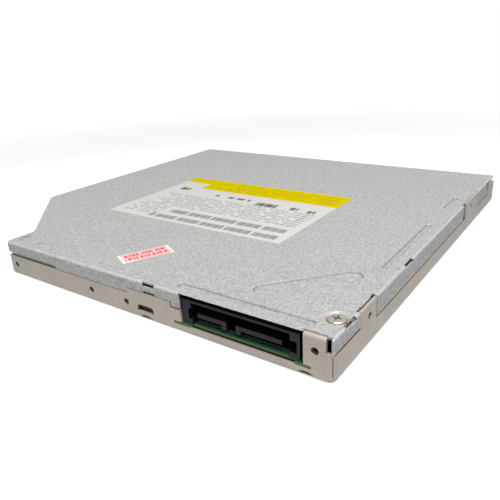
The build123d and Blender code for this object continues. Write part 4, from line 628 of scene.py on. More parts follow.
@dataclass(frozen=True)
class ConductorFilm(Finish):
    """Flat cable: amber film over parallel conductors."""

    film: Colour = (0.46, 0.22, 0.05)
    film_shades: Range = (0.85, 1.1)
    conductor: Colour = (0.62, 0.42, 0.2)
    conductor_shades: Range = (0.9, 1.0)
    pitch: float = 0.5 * MM
    seam: Range = (0.12, 0.2)
    patch: float = 3.0 * MM
    rough: Range = (0.2, 0.32)
    depth: float = 0.02 * MM
    strength: float = 0.5

    def build(self, graph: ShaderGraph) -> None:
        """Draw the conductors as bands across the film.

        Args:
            graph: the graph that takes the nodes.
        """
        bands = graph.bands("X", self.pitch, self.seam)
        clouds = graph.noise(self.patch, 2.0)
        film = graph.mottle(clouds, self.film, *self.film_shades)
        wires = graph.mottle(clouds, self.conductor, *self.conductor_shades)
        graph.colour(graph.mixed(bands, film, wires))
        graph.roughness(clouds, *self.rough)
        graph.relief(bands, self.depth, self.strength)


@dataclass(frozen=True)
class Paper(Finish):
    """Coated label paper, or ink on it, with faint fibres."""

    colour: Colour
    rough: float = 0.5
    fibre: float = 0.25 * MM
    contrast: float = 0.03
    specular: float = 0.1
    stops: Range = (0.35, 0.65)
    fibre_detail: float = 4.0
    wave: float = 7.0 * MM
    rough_below: float = 0.05
    rough_above: float = 0.08
    depth: float = 0.02 * MM
    strength: float = 0.25

    def build(self, graph: ShaderGraph) -> None:
        """Add the fibres and a slight waviness.

        Args:
            graph: the graph that takes the nodes.
        """
        waves = graph.noise(self.wave, 2.0)
        tone = graph.weighed(graph.noise(self.fibre, self.fibre_detail), waves, 0.5)
        graph.colour(graph.mottle(tone, self.colour, 1.0 - self.contrast, 1.0 + self.contrast, self.stops))
        graph.roughness(waves, self.rough - self.rough_below, self.rough + self.rough_above)
        graph.fixed(specular_ior_level=self.specular)
        graph.relief(waves, self.depth, self.strength)


@dataclass(frozen=True)
class CoatedLens(Finish):
    """A small moulded lens with a bluish coating."""

    colour: Colour = (0.62, 0.74, 0.95)
    shades: Range = (1.0, 0.85)
    patch: float = 1.5 * MM
    rough: Range = (0.02, 0.05)
    clearness: float = 0.75
    refraction: float = 1.52
    coat_rough: float = 0.03

    def build(self, graph: ShaderGraph) -> None:
        """Let light through, with the coating's colour shifting softly over the crown.

        Args:
            graph: the graph that takes the nodes.
        """
        drift = graph.noise(self.patch, 1.0)
        graph.colour(graph.mottle(drift, self.colour, *self.shades))
        graph.roughness(drift, *self.rough)
        graph.fixed(transmission_weight=self.clearness, ior=self.refraction, coat_weight=1.0,
                    coat_roughness=self.coat_rough)


@dataclass(frozen=True)
class StackedIron(Finish):
    """Lacquered iron laminations stacked in thin layers."""

    colour: Colour = (0.22, 0.2, 0.19)
    shades: Range = (0.85, 1.2)
    seam_shades: Range = (0.4, 0.5)
    layer: float = 0.2 * MM
    seam: Range = (0.05, 0.15)
    patch: float = 0.8 * MM
    rough: Range = (0.4, 0.6)
    metallic: float = 0.6
    depth: float = 0.03 * MM
    strength: float = 0.6

    def build(self, graph: ShaderGraph) -> None:
        """Draw the layers round the stack.

        Args:
            graph: the graph that takes the nodes.
        """
        layers = graph.bands("Z", self.layer, self.seam)
        clouds = graph.noise(self.patch)
        light = graph.mottle(clouds, self.colour, *self.shades)
        dark = graph.mottle(clouds, self.colour, *self.seam_shades)
        graph.colour(graph.mixed(layers, dark, light))
        graph.roughness(clouds, *self.rough)
        graph.fixed(metallic=self.metallic)
        graph.relief(layers, self.depth, self.strength)


class Finishes:
    """Every finish of the drive."""

    cover_zinc = SpangledZinc("cover_zinc_finish", "cover_zinc")
    case_nickel = RolledMetal("case_nickel_finish", "case_nickel", (0.44, 0.395, 0.345), 0.36, 0.45,
                              Grain.UPRIGHT, grain_size=0.3 * MM, contrast=0.13)
    steel = RolledMetal("steel_finish", "steel", (0.40, 0.395, 0.39), 0.38, 0.8, Grain.ALONG_Y)
    rail_steel = RolledMetal("rail_steel_finish", "steel", (0.45, 0.445, 0.44), 0.32, 0.85, Grain.ALONG_Y)
    turned_steel = RolledMetal("turned_steel_finish", "steel", (0.34, 0.34, 0.335), 0.34, 0.85,
                               grain_size=0.3 * MM, contrast=0.06)
    shaft_steel = RolledMetal("shaft_steel_finish", "bright_steel", (0.72, 0.71, 0.7), 0.14, 1.0,
                              grain_size=0.2 * MM, contrast=0.04, depth=0.002 * MM, edge=0.05 * MM)
    # Its cross recess gets a milder painted shade than the other metals.
    screw_nickel = RolledMetal("screw_nickel_finish", "screw_nickel", (0.46, 0.41, 0.34), 0.26, 1.0,
                               grain_size=0.5 * MM, contrast=0.1, gap_shade=0.5)
    # The mounting threads are painted near black as the shade down in their holes.
    shaded_thread = RolledMetal("shaded_thread_finish", "case_nickel", (0.10, 0.09, 0.08), 0.4, 0.6,
                                grain_size=0.2 * MM, contrast=0.1)
    gold = RolledMetal("gold_finish", "gold", (0.83, 0.6, 0.24), 0.25, 1.0, Grain.ALONG_Y,
                       grain_size=0.2 * MM, contrast=0.06)
    copper = RolledMetal("copper_finish", "bronze", (0.65, 0.3, 0.14), 0.3, 0.9,
                         grain_size=0.3 * MM, contrast=0.1)
    bronze = RolledMetal("bronze_finish", "bronze", (0.42, 0.28, 0.14), 0.45, 0.9,
                         grain_size=0.12 * MM, contrast=0.2)
    tin = RolledMetal("tin_finish", "steel", (0.68, 0.68, 0.67), 0.3, 1.0, grain_size=0.2 * MM)
    magnet = RolledMetal("magnet_finish", "magnet", (0.12, 0.12, 0.125), 0.5, 0.5,
                         grain_size=0.25 * MM, contrast=0.15)
    cast_metal = RolledMetal("cast_metal_finish", "cast_metal", (0.30, 0.30, 0.305), 0.5, 0.7,
                             grain_size=0.4 * MM, contrast=0.12, depth=0.02 * MM)
    tray_plastic = MouldedPlastic("tray_plastic_finish", "black_plastic", (0.016, 0.016, 0.018), 0.46)
    small_plastic = MouldedPlastic("small_plastic_finish", "black_plastic", (0.03, 0.03, 0.033), 0.42,
                                   texture=0.12 * MM)
    # The faces within its mouth are painted near black as shade.
    connector_plastic = KeyedPlastic("connector_plastic_finish", "connector_plastic", (0.032, 0.031, 0.036),
                                     0.55, texture=0.15 * MM)
    chip_plastic = MouldedPlastic("chip_plastic_finish", "chip_plastic", (0.022, 0.022, 0.024), 0.55,
                                  texture=0.08 * MM)
    socket_plastic = MouldedPlastic("socket_plastic_finish", "socket_plastic", (0.62, 0.58, 0.46))
    lamp_plastic = MouldedPlastic("lamp_plastic_finish", "lamp_plastic", (0.55, 0.66, 0.36), 0.25)
    rubber = MouldedPlastic("rubber_finish", "rubber", (0.018, 0.018, 0.018), 0.8,
                            texture=0.1 * MM, depth=0.02 * MM)
    ceramic = MouldedPlastic("ceramic_finish", "ceramic", (0.34, 0.22, 0.13), 0.4, texture=0.1 * MM)
    black_sheet = MouldedPlastic("black_sheet_finish", "black_sheet", (0.02, 0.02, 0.022), 0.34,
                                 texture=0.25 * MM)
    board = SolderMask("board_finish", "board_green")
    film = ConductorFilm("film_finish", "flex_film")
    iron = StackedIron("iron_finish", "laminated_iron")
    lens = CoatedLens("lens_finish", "lens_glass")
    label = Paper("label_finish", "label_paper", (0.56, 0.55, 0.525), 0.6)
    stripe = Paper("stripe_finish", "stripe_yellow", (0.585, 0.475, 0.0), 0.6, 0.3 * MM, 0.05, 0.0)
    seal = Paper("seal_finish", "seal_paper", (0.78, 0.66, 0.65))
    ink = Paper("ink_finish", "label_paper", (0.13, 0.13, 0.127), fibre=0.2 * MM, contrast=0.12)
    dark_ink = Paper("dark_ink_finish", "label_paper", (0.1, 0.1, 0.1), fibre=0.2 * MM, contrast=0.12)
    pale_ink = Paper("pale_ink_finish", "label_paper", (0.32, 0.32, 0.31), fibre=0.2 * MM, contrast=0.1)
    stripe_ink = Paper("stripe_ink_finish", "stripe_yellow", (0.43, 0.34, 0.01), 0.6, 0.3 * MM, 0.05, 0.0)
    red_ink = Paper("red_ink_finish", "seal_paper", (0.62, 0.10, 0.11), fibre=0.2 * MM, contrast=0.1)


@dataclass(frozen=True)
class Winding:
    """How a wire or a thread is wound round an axis, in metres."""

    radius: float
    pitch: float
    wire: float


class MeshKit:
    """Builds the meshes of the pieces that are added to the model."""

    steps_a_turn: int = 18
    wire_sides: int = 6
    cut_share: float = 0.25
    cut_reach: float = 0.4 * MM
    nearest: float = 0.001 * MM

    @staticmethod
    def box(mesh: bmesh.types.BMesh, low: Sequence[float], high: Sequence[float]) -> None:
        """Add a straight block between two corners.

        Args:
            mesh: the mesh that takes it.
            low: its lowest corner, in metres.
            high: its highest corner, in metres.
        """
        size = [end - start for start, end in zip(low, high)]
        middle = [(end + start) / 2 for start, end in zip(low, high)]
        place = Matrix.Translation(middle) @ Matrix.Diagonal((*size, 1.0))
        bmesh.ops.create_cube(mesh, size=1.0, matrix=place)

    @staticmethod
    def heading(path: Sequence[Vector], number: int) -> Vector:
        """Return the direction of a path at one of its points."""
        return (path[min(number + 1, len(path) - 1)] - path[max(number - 1, 0)]).normalized()

    @staticmethod
    def skin(mesh: bmesh.types.BMesh, loops: Sequence[list[bmesh.types.BMVert]]) -> None:
        """Join loops of equally many points into one closed body.

        Args:
            mesh: the mesh that takes it.
            loops: the loops, from one end to the other.
        """
        for first, second in zip(loops, loops[1:]):
            for number in range(len(first)):
                after = (number + 1) % len(first)
                mesh.faces.new((first[number], first[after], second[after], second[number]))
        mesh.faces.new(loops[0][::-1])
        mesh.faces.new(loops[-1])

    @staticmethod
    def tube(mesh: bmesh.types.BMesh, path: Sequence[Vector], radius: float, sides: int) -> None:
        """Add a round tube along a path.

        Args:
            mesh: the mesh that takes it.
            path: its points, in metres.
            radius: its radius, in metres.
            sides: how many sides it has.
        """
        side = (path[1] - path[0]).orthogonal().normalized()
        turns = [2.0 * math.pi * number / sides for number in range(sides)]
        loops = []
        for number, point in enumerate(path):
            along = MeshKit.heading(path, number)
            side = (side - along * side.dot(along)).normalized()
            up = along.cross(side).normalized()
            ring = [point + radius * (math.cos(turn) * side + math.sin(turn) * up) for turn in turns]
            loops.append([mesh.verts.new(corner) for corner in ring])
        MeshKit.skin(mesh, loops)

    @staticmethod
    def ribbon(mesh: bmesh.types.BMesh, path: Sequence[Vector], width: Vector, thickness: float) -> None:
        """Add a flat strip along a path in a plane across its width.

        Args:
            mesh: the mesh that takes it.
            path: the points of its middle line, in metres.
            width: how wide it is, and which way.
            thickness: how thick it is, in metres.
        """
        loops = []
        for number, point in enumerate(path):
            out = MeshKit.heading(path, number).cross(width).normalized() * thickness / 2
            left, right = point - width / 2, point + width / 2
            ring = (left - out, right - out, right + out, left + out)
            loops.append([mesh.verts.new(corner) for corner in ring])
        MeshKit.skin(mesh, loops)

    @staticmethod
    def coil(mesh: bmesh.types.BMesh, place: Matrix, length: float, winding: Winding) -> None:
        """Add a wire or a thread wound round an axis.

        Args:
            mesh: the mesh that takes it.
            place: where the axis starts, along X.
            length: how far it goes, in metres.
            winding: how it is wound.
        """
        steps = int(length / winding.pitch * MeshKit.steps_a_turn)
        path = []
        for step in range(steps + 1):
            turn = 2.0 * math.pi * length / winding.pitch * step / steps
            across = (winding.radius * math.cos(turn), winding.radius * math.sin(turn))
            path.append(place @ Vector((length * step / steps, *across)))
        MeshKit.tube(mesh, path, winding.wire, MeshKit.wire_sides)

    @staticmethod
    def eased(points: Sequence[Vector], rounds: int, longest: float) -> list[Vector]:
        """Return a path with its corners cut round and its long stretches parted.

        Args:
            points: the path's corners.
            rounds: how many times each corner is cut.
            longest: the longest stretch that may be left, in metres.

        Returns:
            The new points.
        """
        path = list(points)
        for _ in range(rounds):
            cut = [path[0]]
            for first, second in zip(path, path[1:]):
                reach = min(MeshKit.cut_share, MeshKit.cut_reach / (second - first).length)
                cut += [first.lerp(second, reach), first.lerp(second, 1.0 - reach)]
            path = [*cut, path[-1]]
        parted = [path[0]]
        for first, second in zip(path, path[1:]):
            count = max(1, math.ceil((second - first).length / longest))
            parted += [first.lerp(second, number / count) for number in range(1, count + 1)]
        pairs = zip(parted, parted[1:])
        return [parted[0], *(second for first, second in pairs if (second - first).length > MeshKit.nearest)]

    @staticmethod
    def piece(name: str, mesh: bmesh.types.BMesh, body: Body | None, finish: Finish,
              smooth: bool = False) -> bpy.types.Object:
        """Turn a mesh into a dressed piece that rides on a body.

        Args:
            name: the piece's name.
            mesh: its mesh, which is used up.
            body: the body that it moves with, or None for a piece that the caller places itself.
            finish: its finish.
            smooth: whether its faces are shaded smoothly.

        Returns:
            The new object.
        """
        bmesh.ops.recalc_face_normals(mesh, faces=mesh.faces)
        for face in mesh.faces:
            face.smooth = smooth
        data = bpy.data.meshes.new(name)
        mesh.to_mesh(data)
        mesh.free()
        made = bpy.data.objects.new(name, data)
        bpy.context.scene.collection.objects.link(made)
        data.materials.append(finish.material())
        if body:
            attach(made, body.value)
        log.info("piece %s built", name)
        return made


@dataclass
class SubAssembly:
    """A group of the model's nodes that is dressed together."""

    frame: dict[str, Any]
    finishes: ClassVar[dict[str, Finish]] = {}

    def dress(self) -> None:
        """Give each node of the group its finish."""
        for node, finish in self.finishes.items():
            shown = self.frame["nodes"][node]
            if not shown.material_slots:
                shown.data.materials.append(None)
            for slot in shown.material_slots:
                slot.material = finish.material()
            log.info("node %s dressed in %s", node, finish.name)

    def build(self) -> None:
        """Add the group's own pieces."""


@dataclass
class Shell(SubAssembly):
    """The folded case, the pressed cover and the screw between them."""

    finishes: ClassVar[dict[str, Finish]] = {
        "bottom_case": Finishes.case_nickel,
        "top_cover": Finishes.cover_zinc,
        "cover_screw": Finishes.screw_nickel,
        "lock_pin": Finishes.steel,
    }
    rear_holes: tuple[Range, ...] = (
        (32.9 * MM, 3.1 * MM),
        (1.2 * MM, 3.1 * MM),
        (-11.15 * MM, 3.1 * MM),
        (-60.2 * MM, 6.0 * MM),
    )
    side_holes: tuple[Range, ...] = ((47.6 * MM, 6.75 * MM), (-30.5 * MM, 6.75 * MM))
    thread: Winding = Winding(radius=0.79 * MM, pitch=0.32 * MM, wire=0.07 * MM)
    thread_length: float = 1.1 * MM
    thread_start: float = 0.12 * MM

    def build(self) -> None:
        """Wind the threads in the mounting holes, painted dark as the shade in them."""
        low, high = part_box("bottom_case")
        mesh = bmesh.new()
        inward = Matrix.Rotation(math.radians(-90.0), 4, "Z")
        for x, z in self.rear_holes:
            place = Matrix.Translation((x, high.y - self.thread_start, z)) @ inward
            MeshKit.coil(mesh, place, self.thread_length, self.thread)
        for y, z in self.side_holes:
            place = Matrix.Translation((low.x + self.thread_start, y, z))
            MeshKit.coil(mesh, place, self.thread_length, self.thread)
        MeshKit.piece("mounting_threads", mesh, Body.CASE, Finishes.shaded_thread, smooth=True)


@dataclass(frozen=True)
class PrintRow:
    """One row of generic marks, in millimetres from the label's low corner."""

    low: float
    high: float
    start: float
    end: float
    mark: float
    gap: float
    pause: float = 2.0
    every: int = 6


@dataclass(frozen=True)
class LabelPlan:
    """Where the generic print stands on the rating label, the stripe and the seal, in millimetres."""

    bars: tuple[PrintRow, ...] = (
        PrintRow(39.4, 42.0, 2.6, 48.6, 0.32, 0.24, 0.8, 13),
        PrintRow(34.3, 37.0, 2.9, 44.4, 0.32, 0.24, 0.8, 13),
    )
    lines: tuple[PrintRow, ...] = tuple(
        PrintRow(20.2 + 1.75 * row, 21.1 + 1.75 * row, 2.6, 59.5 - 2.5 * (row % 3),
                 mark=1.1, gap=0.45, pause=1.4, every=4 + row * 5 % 7)
        for row in range(7)
    ) + tuple(
        PrintRow(32.6 + 1.7 * row, 33.5 + 1.7 * row, 47.5, 61.0 - 2.0 * (row % 2),
                 mark=0.9, gap=0.5, pause=1.0, every=3 + row % 3)
        for row in range(5)
    )
    marks: tuple[PrintRow, ...] = (
        PrintRow(17.2, 19.4, 3.5, 6.0, 1.3, 0.4),
        PrintRow(16.6, 19.0, 9.5, 12.2, 0.9, 0.5),
        PrintRow(16.6, 19.6, 17.0, 24.5, 1.5, 0.35),
        PrintRow(12.6, 15.4, 55.5, 59.5, 1.6, 0.5),
    )
    small_marks: tuple[PrintRow, ...] = (
        PrintRow(15.4, 17.2, 28.0, 42.0, 1.6, 1.4, 2.4, 3),
    )
    stripe: tuple[PrintRow, ...] = (
        PrintRow(2.1, 2.9, 2.0, 47.0, 1.3, 0.5),
        PrintRow(4.3, 5.1, 2.0, 50.0, 1.1, 0.5),
        PrintRow(6.4, 7.2, 2.0, 44.0, 1.4, 0.5),
        PrintRow(8.4, 9.2, 2.0, 49.0, 1.2, 0.5),
    )
    seal_angle: float = 64.0
    seal: tuple[PrintRow, ...] = (
        PrintRow(-2.35, -2.05, -5.8, 5.8, 2.4, 0.0),
        PrintRow(-1.8, -0.3, -5.5, 5.5, 0.5, 0.14, 0.3, 5),
        PrintRow(0.1, 1.8, -5.6, 5.6, 0.46, 0.14, 0.3, 4),
        PrintRow(2.1, 2.4, -5.8, 5.8, 2.4, 0.0),
    )
    lift: float = 0.012
    narrowest: float = 0.6
    wider: float = 0.4
    widths: int = 4
    skip: int = 7


@dataclass
class Labels(SubAssembly):
    """The rating label with its stripe, and the seal across the cover."""

    finishes: ClassVar[dict[str, Finish]] = {
        "rating_label": Finishes.label,
        "label_stripe": Finishes.stripe,
        "seal_sticker": Finishes.seal,
    }
    plan: LabelPlan = LabelPlan()

    def build(self) -> None:
        """Add the generic print of the label, the stripe and the seal."""
        low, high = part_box("rating_label")
        corner = Matrix.Translation((low.x, low.y, high.z))
        plan = self.plan
        for name, rows, finish in (
            ("label_bars", plan.bars, Finishes.ink),
            ("label_lines", plan.lines, Finishes.pale_ink),
            ("label_marks", plan.marks, Finishes.dark_ink),
            ("label_small_marks", plan.small_marks, Finishes.ink),
            ("stripe_lines", plan.stripe, Finishes.stripe_ink),
        ):
            self.print_rows(name, rows, finish, corner)
        low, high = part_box("seal_sticker")
        middle = Matrix.Translation(((low.x + high.x) / 2, (low.y + high.y) / 2, high.z))
        turn = Matrix.Rotation(math.radians(plan.seal_angle), 4, "Z")
        self.print_rows("seal_print", plan.seal, Finishes.red_ink, middle @ turn)

    def print_rows(self, name: str, rows: Sequence[PrintRow], finish: Finish, place: Matrix) -> None:
        """Add rows of marks of uneven width as one printed piece.

        Args:
            name: the piece's name.
            rows: its rows of marks.
            finish: the ink.
            place: where the rows' zero lies and how they are turned.
        """
        mesh, plan = bmesh.new(), self.plan
        for row_number, row in enumerate(rows):
            x, number = row.start, row_number
            while x < row.end:
                step = (number * plan.skip + row_number) % plan.widths
                width = min(row.mark * (plan.narrowest + plan.wider * step), row.end - x)
                low = (x * MM, row.low * MM, 0.0)
                MeshKit.box(mesh, low, ((x + width) * MM, row.high * MM, plan.lift * MM))
                number += 1
                x += width + row.gap + (0.0 if number % row.every else row.pause)
        bmesh.ops.transform(mesh, matrix=place, verts=mesh.verts)
        MeshKit.piece(name, mesh, Body.CASE, finish)


@dataclass
class MainBoard(SubAssembly):
    """The main board, its chips and the rear connector."""

    finishes: ClassVar[dict[str, Finish]] = {
        "main_board": Finishes.board,
        "board_screws": Finishes.screw_nickel,
        "controller_chip": Finishes.chip_plastic,
        "motor_driver_chip": Finishes.chip_plastic,
        "memory_chip": Finishes.chip_plastic,
        "capacitors": Finishes.ceramic,
        "oscillator": Finishes.tin,
        "flex_socket": Finishes.socket_plastic,
        "connector_housing": Finishes.connector_plastic,
        "connector_contacts": Finishes.gold,
    }
    lead_pitch: float = 0.8 * MM
    lead_width: float = 0.34 * MM
    lead_reach: float = 0.9 * MM
    lead_shoulder: float = 0.45
    lead_foot: float = 0.6
    lead_lift: float = 0.08 * MM
    lead_sheet: float = 0.1 * MM

    def build(self) -> None:
        """Add the chips' leads."""
        mesh = bmesh.new()
        for chip in ("controller_chip", "motor_driver_chip", "memory_chip"):
            self.leads(mesh, *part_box(chip), all_round=chip == "controller_chip")
        MeshKit.piece("chip_leads", mesh, Body.CASE, Finishes.tin)

    def leads(self, mesh: bmesh.types.BMesh, low: Vector, high: Vector, all_round: bool) -> None:
        """Add the bent leads along a chip's sides.

        Args:
            mesh: the mesh that takes them.
            low: the chip's lowest corner.
            high: the chip's highest corner.
            all_round: whether it has leads on four sides instead of two.
        """
        middle, foot = Vector((0, 0, (low.z + high.z) / 2)), Vector((0, 0, low.z + self.lead_lift))
        sides = [(Vector((0, 1, 0)), low.x, high.x, high.y), (Vector((0, -1, 0)), low.x, high.x, -low.y)]
        if all_round:
            sides += [(Vector((1, 0, 0)), low.y, high.y, high.x), (Vector((-1, 0, 0)), low.y, high.y, -low.x)]
        for outward, start, end, edge in sides:
            across = Vector((abs(outward.y), abs(outward.x), 0))
            reach = outward * self.lead_reach
            count = int((end - start) / self.lead_pitch)
            for number in range(count):
                place = start + (end - start) * (number + 0.5) / count
                root = outward * edge + across * place
                path = [root + middle, root + reach * self.lead_shoulder + middle,
                        root + reach * self.lead_foot + foot, root + reach + foot]
                MeshKit.ribbon(mesh, path, across * self.lead_width, self.lead_sheet)


@dataclass
class FlatCable(SubAssembly):
    """The flat cable from the board to the tray, folded once."""

    finishes: ClassVar[dict[str, Finish]] = {"flex_cable": Finishes.film}
    thickness: float = 0.15 * MM
    layer: float = 0.4 * MM
    plug_height: float = 2.875 * MM
    low_start: float = 5.8 * MM
    high_end: float = 9.2 * MM
    step_run: float = 1.0 * MM
    lap_end: float = 1.6 * MM
    stretch: float = 1.2 * MM
    fold_steps: int = 8
    lower_rounds: int = 3
    upper_rounds: int = 2

    def build(self) -> None:
        """Build the layer that lies on the floor and the one folded back over it, which rises to the top."""
        low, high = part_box("flex_cable")
        middle, width = (low.x + high.x) / 2, Vector((high.x - low.x, 0.0, 0.0))
        floor = low.z + self.thickness / 2
        fold = low.y + self.thickness / 2 + self.layer / 2
        start, end = high.y - self.low_start, high.y - self.high_end
        lower = [(high.y, self.plug_height), (start + self.step_run, self.plug_height),
                 (start, floor), (fold, floor)]
        turns = [math.pi * number / self.fold_steps for number in range(self.fold_steps + 1)]
        upper = [(fold - self.layer / 2 * math.sin(turn), floor + self.layer / 2 * (1.0 - math.cos(turn)))
                 for turn in turns]
        top, lap = high.z - self.thickness / 2, high.y - self.lap_end
        upper += [(end, floor + self.layer), (end + self.step_run, top), (lap, top)]
        lower, upper = ([Vector((middle, *point)) for point in path] for path in (lower, upper))
        lying = self.layer_piece("flex_lower", lower, width, self.lower_rounds)
        following = self.layer_piece("flex_upper", upper, width, self.upper_rounds)
        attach(lying, Body.CASE.value)
        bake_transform(following)

    def layer_piece(self, name: str, path: Sequence[Vector], width: Vector, rounds: int) -> bpy.types.Object:
        """Build one layer of the cable, which stands for the plain one.

        Args:
            name: the piece's name.
            path: the layer's corners.
            width: how wide it is, and which way.
            rounds: how often its corners are cut round.

        Returns:
            The new piece.
        """
        mesh = bmesh.new()
        MeshKit.ribbon(mesh, MeshKit.eased(path, rounds, self.stretch), width, self.thickness)
        made = MeshKit.piece(name, mesh, None, Finishes.film)
        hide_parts("flex_cable")
        return made


@dataclass
class Rails(SubAssembly):
    """The telescopic rails on both sides."""

    finishes: ClassVar[dict[str, Finish]] = {
        "left_guide": Finishes.small_plastic,
        "right_guide": Finishes.small_plastic,
        "left_slide_rail": Finishes.rail_steel,
        "right_slide_rail": Finishes.rail_steel,
    }


@dataclass
class Tray(SubAssembly):
    """The moulded tray with its front board, switch and lock."""

    finishes: ClassVar[dict[str, Finish]] = {
        "tray": Finishes.tray_plastic,
        "front_board": Finishes.board,
        "eject_switch_body": Finishes.small_plastic,
        "eject_switch_plunger": Finishes.small_plastic,
        "activity_lamp": Finishes.lamp_plastic,
        "lock_lever": Finishes.small_plastic,
        "lever_pin": Finishes.shaft_steel,
        "lock_solenoid": Finishes.steel,
        "solenoid_plunger": Finishes.shaft_steel,
        "eject_slider": Finishes.steel,
    }
    cheek: float = 0.9 * MM
    winding: Winding = Winding(radius=1.72 * MM, pitch=0.24 * MM, wire=0.11 * MM)

    def build(self) -> None:
        """Wind the copper wire on the solenoid's bobbin."""
        low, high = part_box("lock_solenoid")
        start = Matrix.Translation(((low.x + high.x) / 2, low.y + self.cheek, (low.z + high.z) / 2))
        place = start @ Matrix.Rotation(math.radians(90.0), 4, "Z")
        mesh = bmesh.new()
        MeshKit.coil(mesh, place, high.y - low.y - 2 * self.cheek, self.winding)
        MeshKit.piece("solenoid_winding", mesh, Body.TRAY, Finishes.copper, smooth=True)


@dataclass
class Traverse(SubAssembly):
    """The traverse that carries the spindle motor and the pickup."""

    finishes: ClassVar[dict[str, Finish]] = {
        "traverse_chassis": Finishes.steel,
        "traverse_dampers": Finishes.rubber,
        "damper_screws": Finishes.screw_nickel,
        "guide_shafts": Finishes.shaft_steel,
        "motor_base": Finishes.steel,
        "spindle_bearing": Finishes.bronze,
        "motor_stator": Finishes.iron,
        "turntable_rotor": Finishes.turned_steel,
        "rotor_magnet": Finishes.magnet,
        "spindle_shaft": Finishes.shaft_steel,
        "turntable_ring": Finishes.rubber,
        "clamp_claw_1": Finishes.small_plastic,
        "clamp_claw_2": Finishes.small_plastic,
        "clamp_claw_3": Finishes.small_plastic,
        "feed_motor": Finishes.tin,
        "pickup_sled": Finishes.cast_metal,
        "lens_holder": Finishes.small_plastic,
        "objective_lens": Finishes.lens,
        "actuator_yoke": Finishes.steel,
        "screw_follower": Finishes.small_plastic,
        "traverse_cover": Finishes.black_sheet,
        "lead_screw": Finishes.shaft_steel,
    }
    spindle: Range = (1.5 * MM, -1.0 * MM)
    feed_angle: float = 225.0
    screw_line: Point = (-2.6 * MM, -22.5 * MM, 2.7 * MM)
    thread_length: float = 55.0 * MM
    thread: Winding = Winding(radius=0.88 * MM, pitch=1.2 * MM, wire=0.1 * MM)

    def build(self) -> None:
        """Wind the thread of the lead screw."""
        spindle = Matrix.Translation((*self.spindle, 0.0))
        place = spindle @ Matrix.Rotation(math.radians(self.feed_angle), 4, "Z")
        mesh = bmesh.new()
        MeshKit.coil(mesh, place @ Matrix.Translation(self.screw_line), self.thread_length, self.thread)
        MeshKit.piece("lead_screw_thread", mesh, Body.LEAD_SCREW, Finishes.shaft_steel, smooth=True)


@dataclass(frozen=True)
class Softbox:
    """One large soft lamp."""

    name: str
    place: Point
    size: float
    power: float


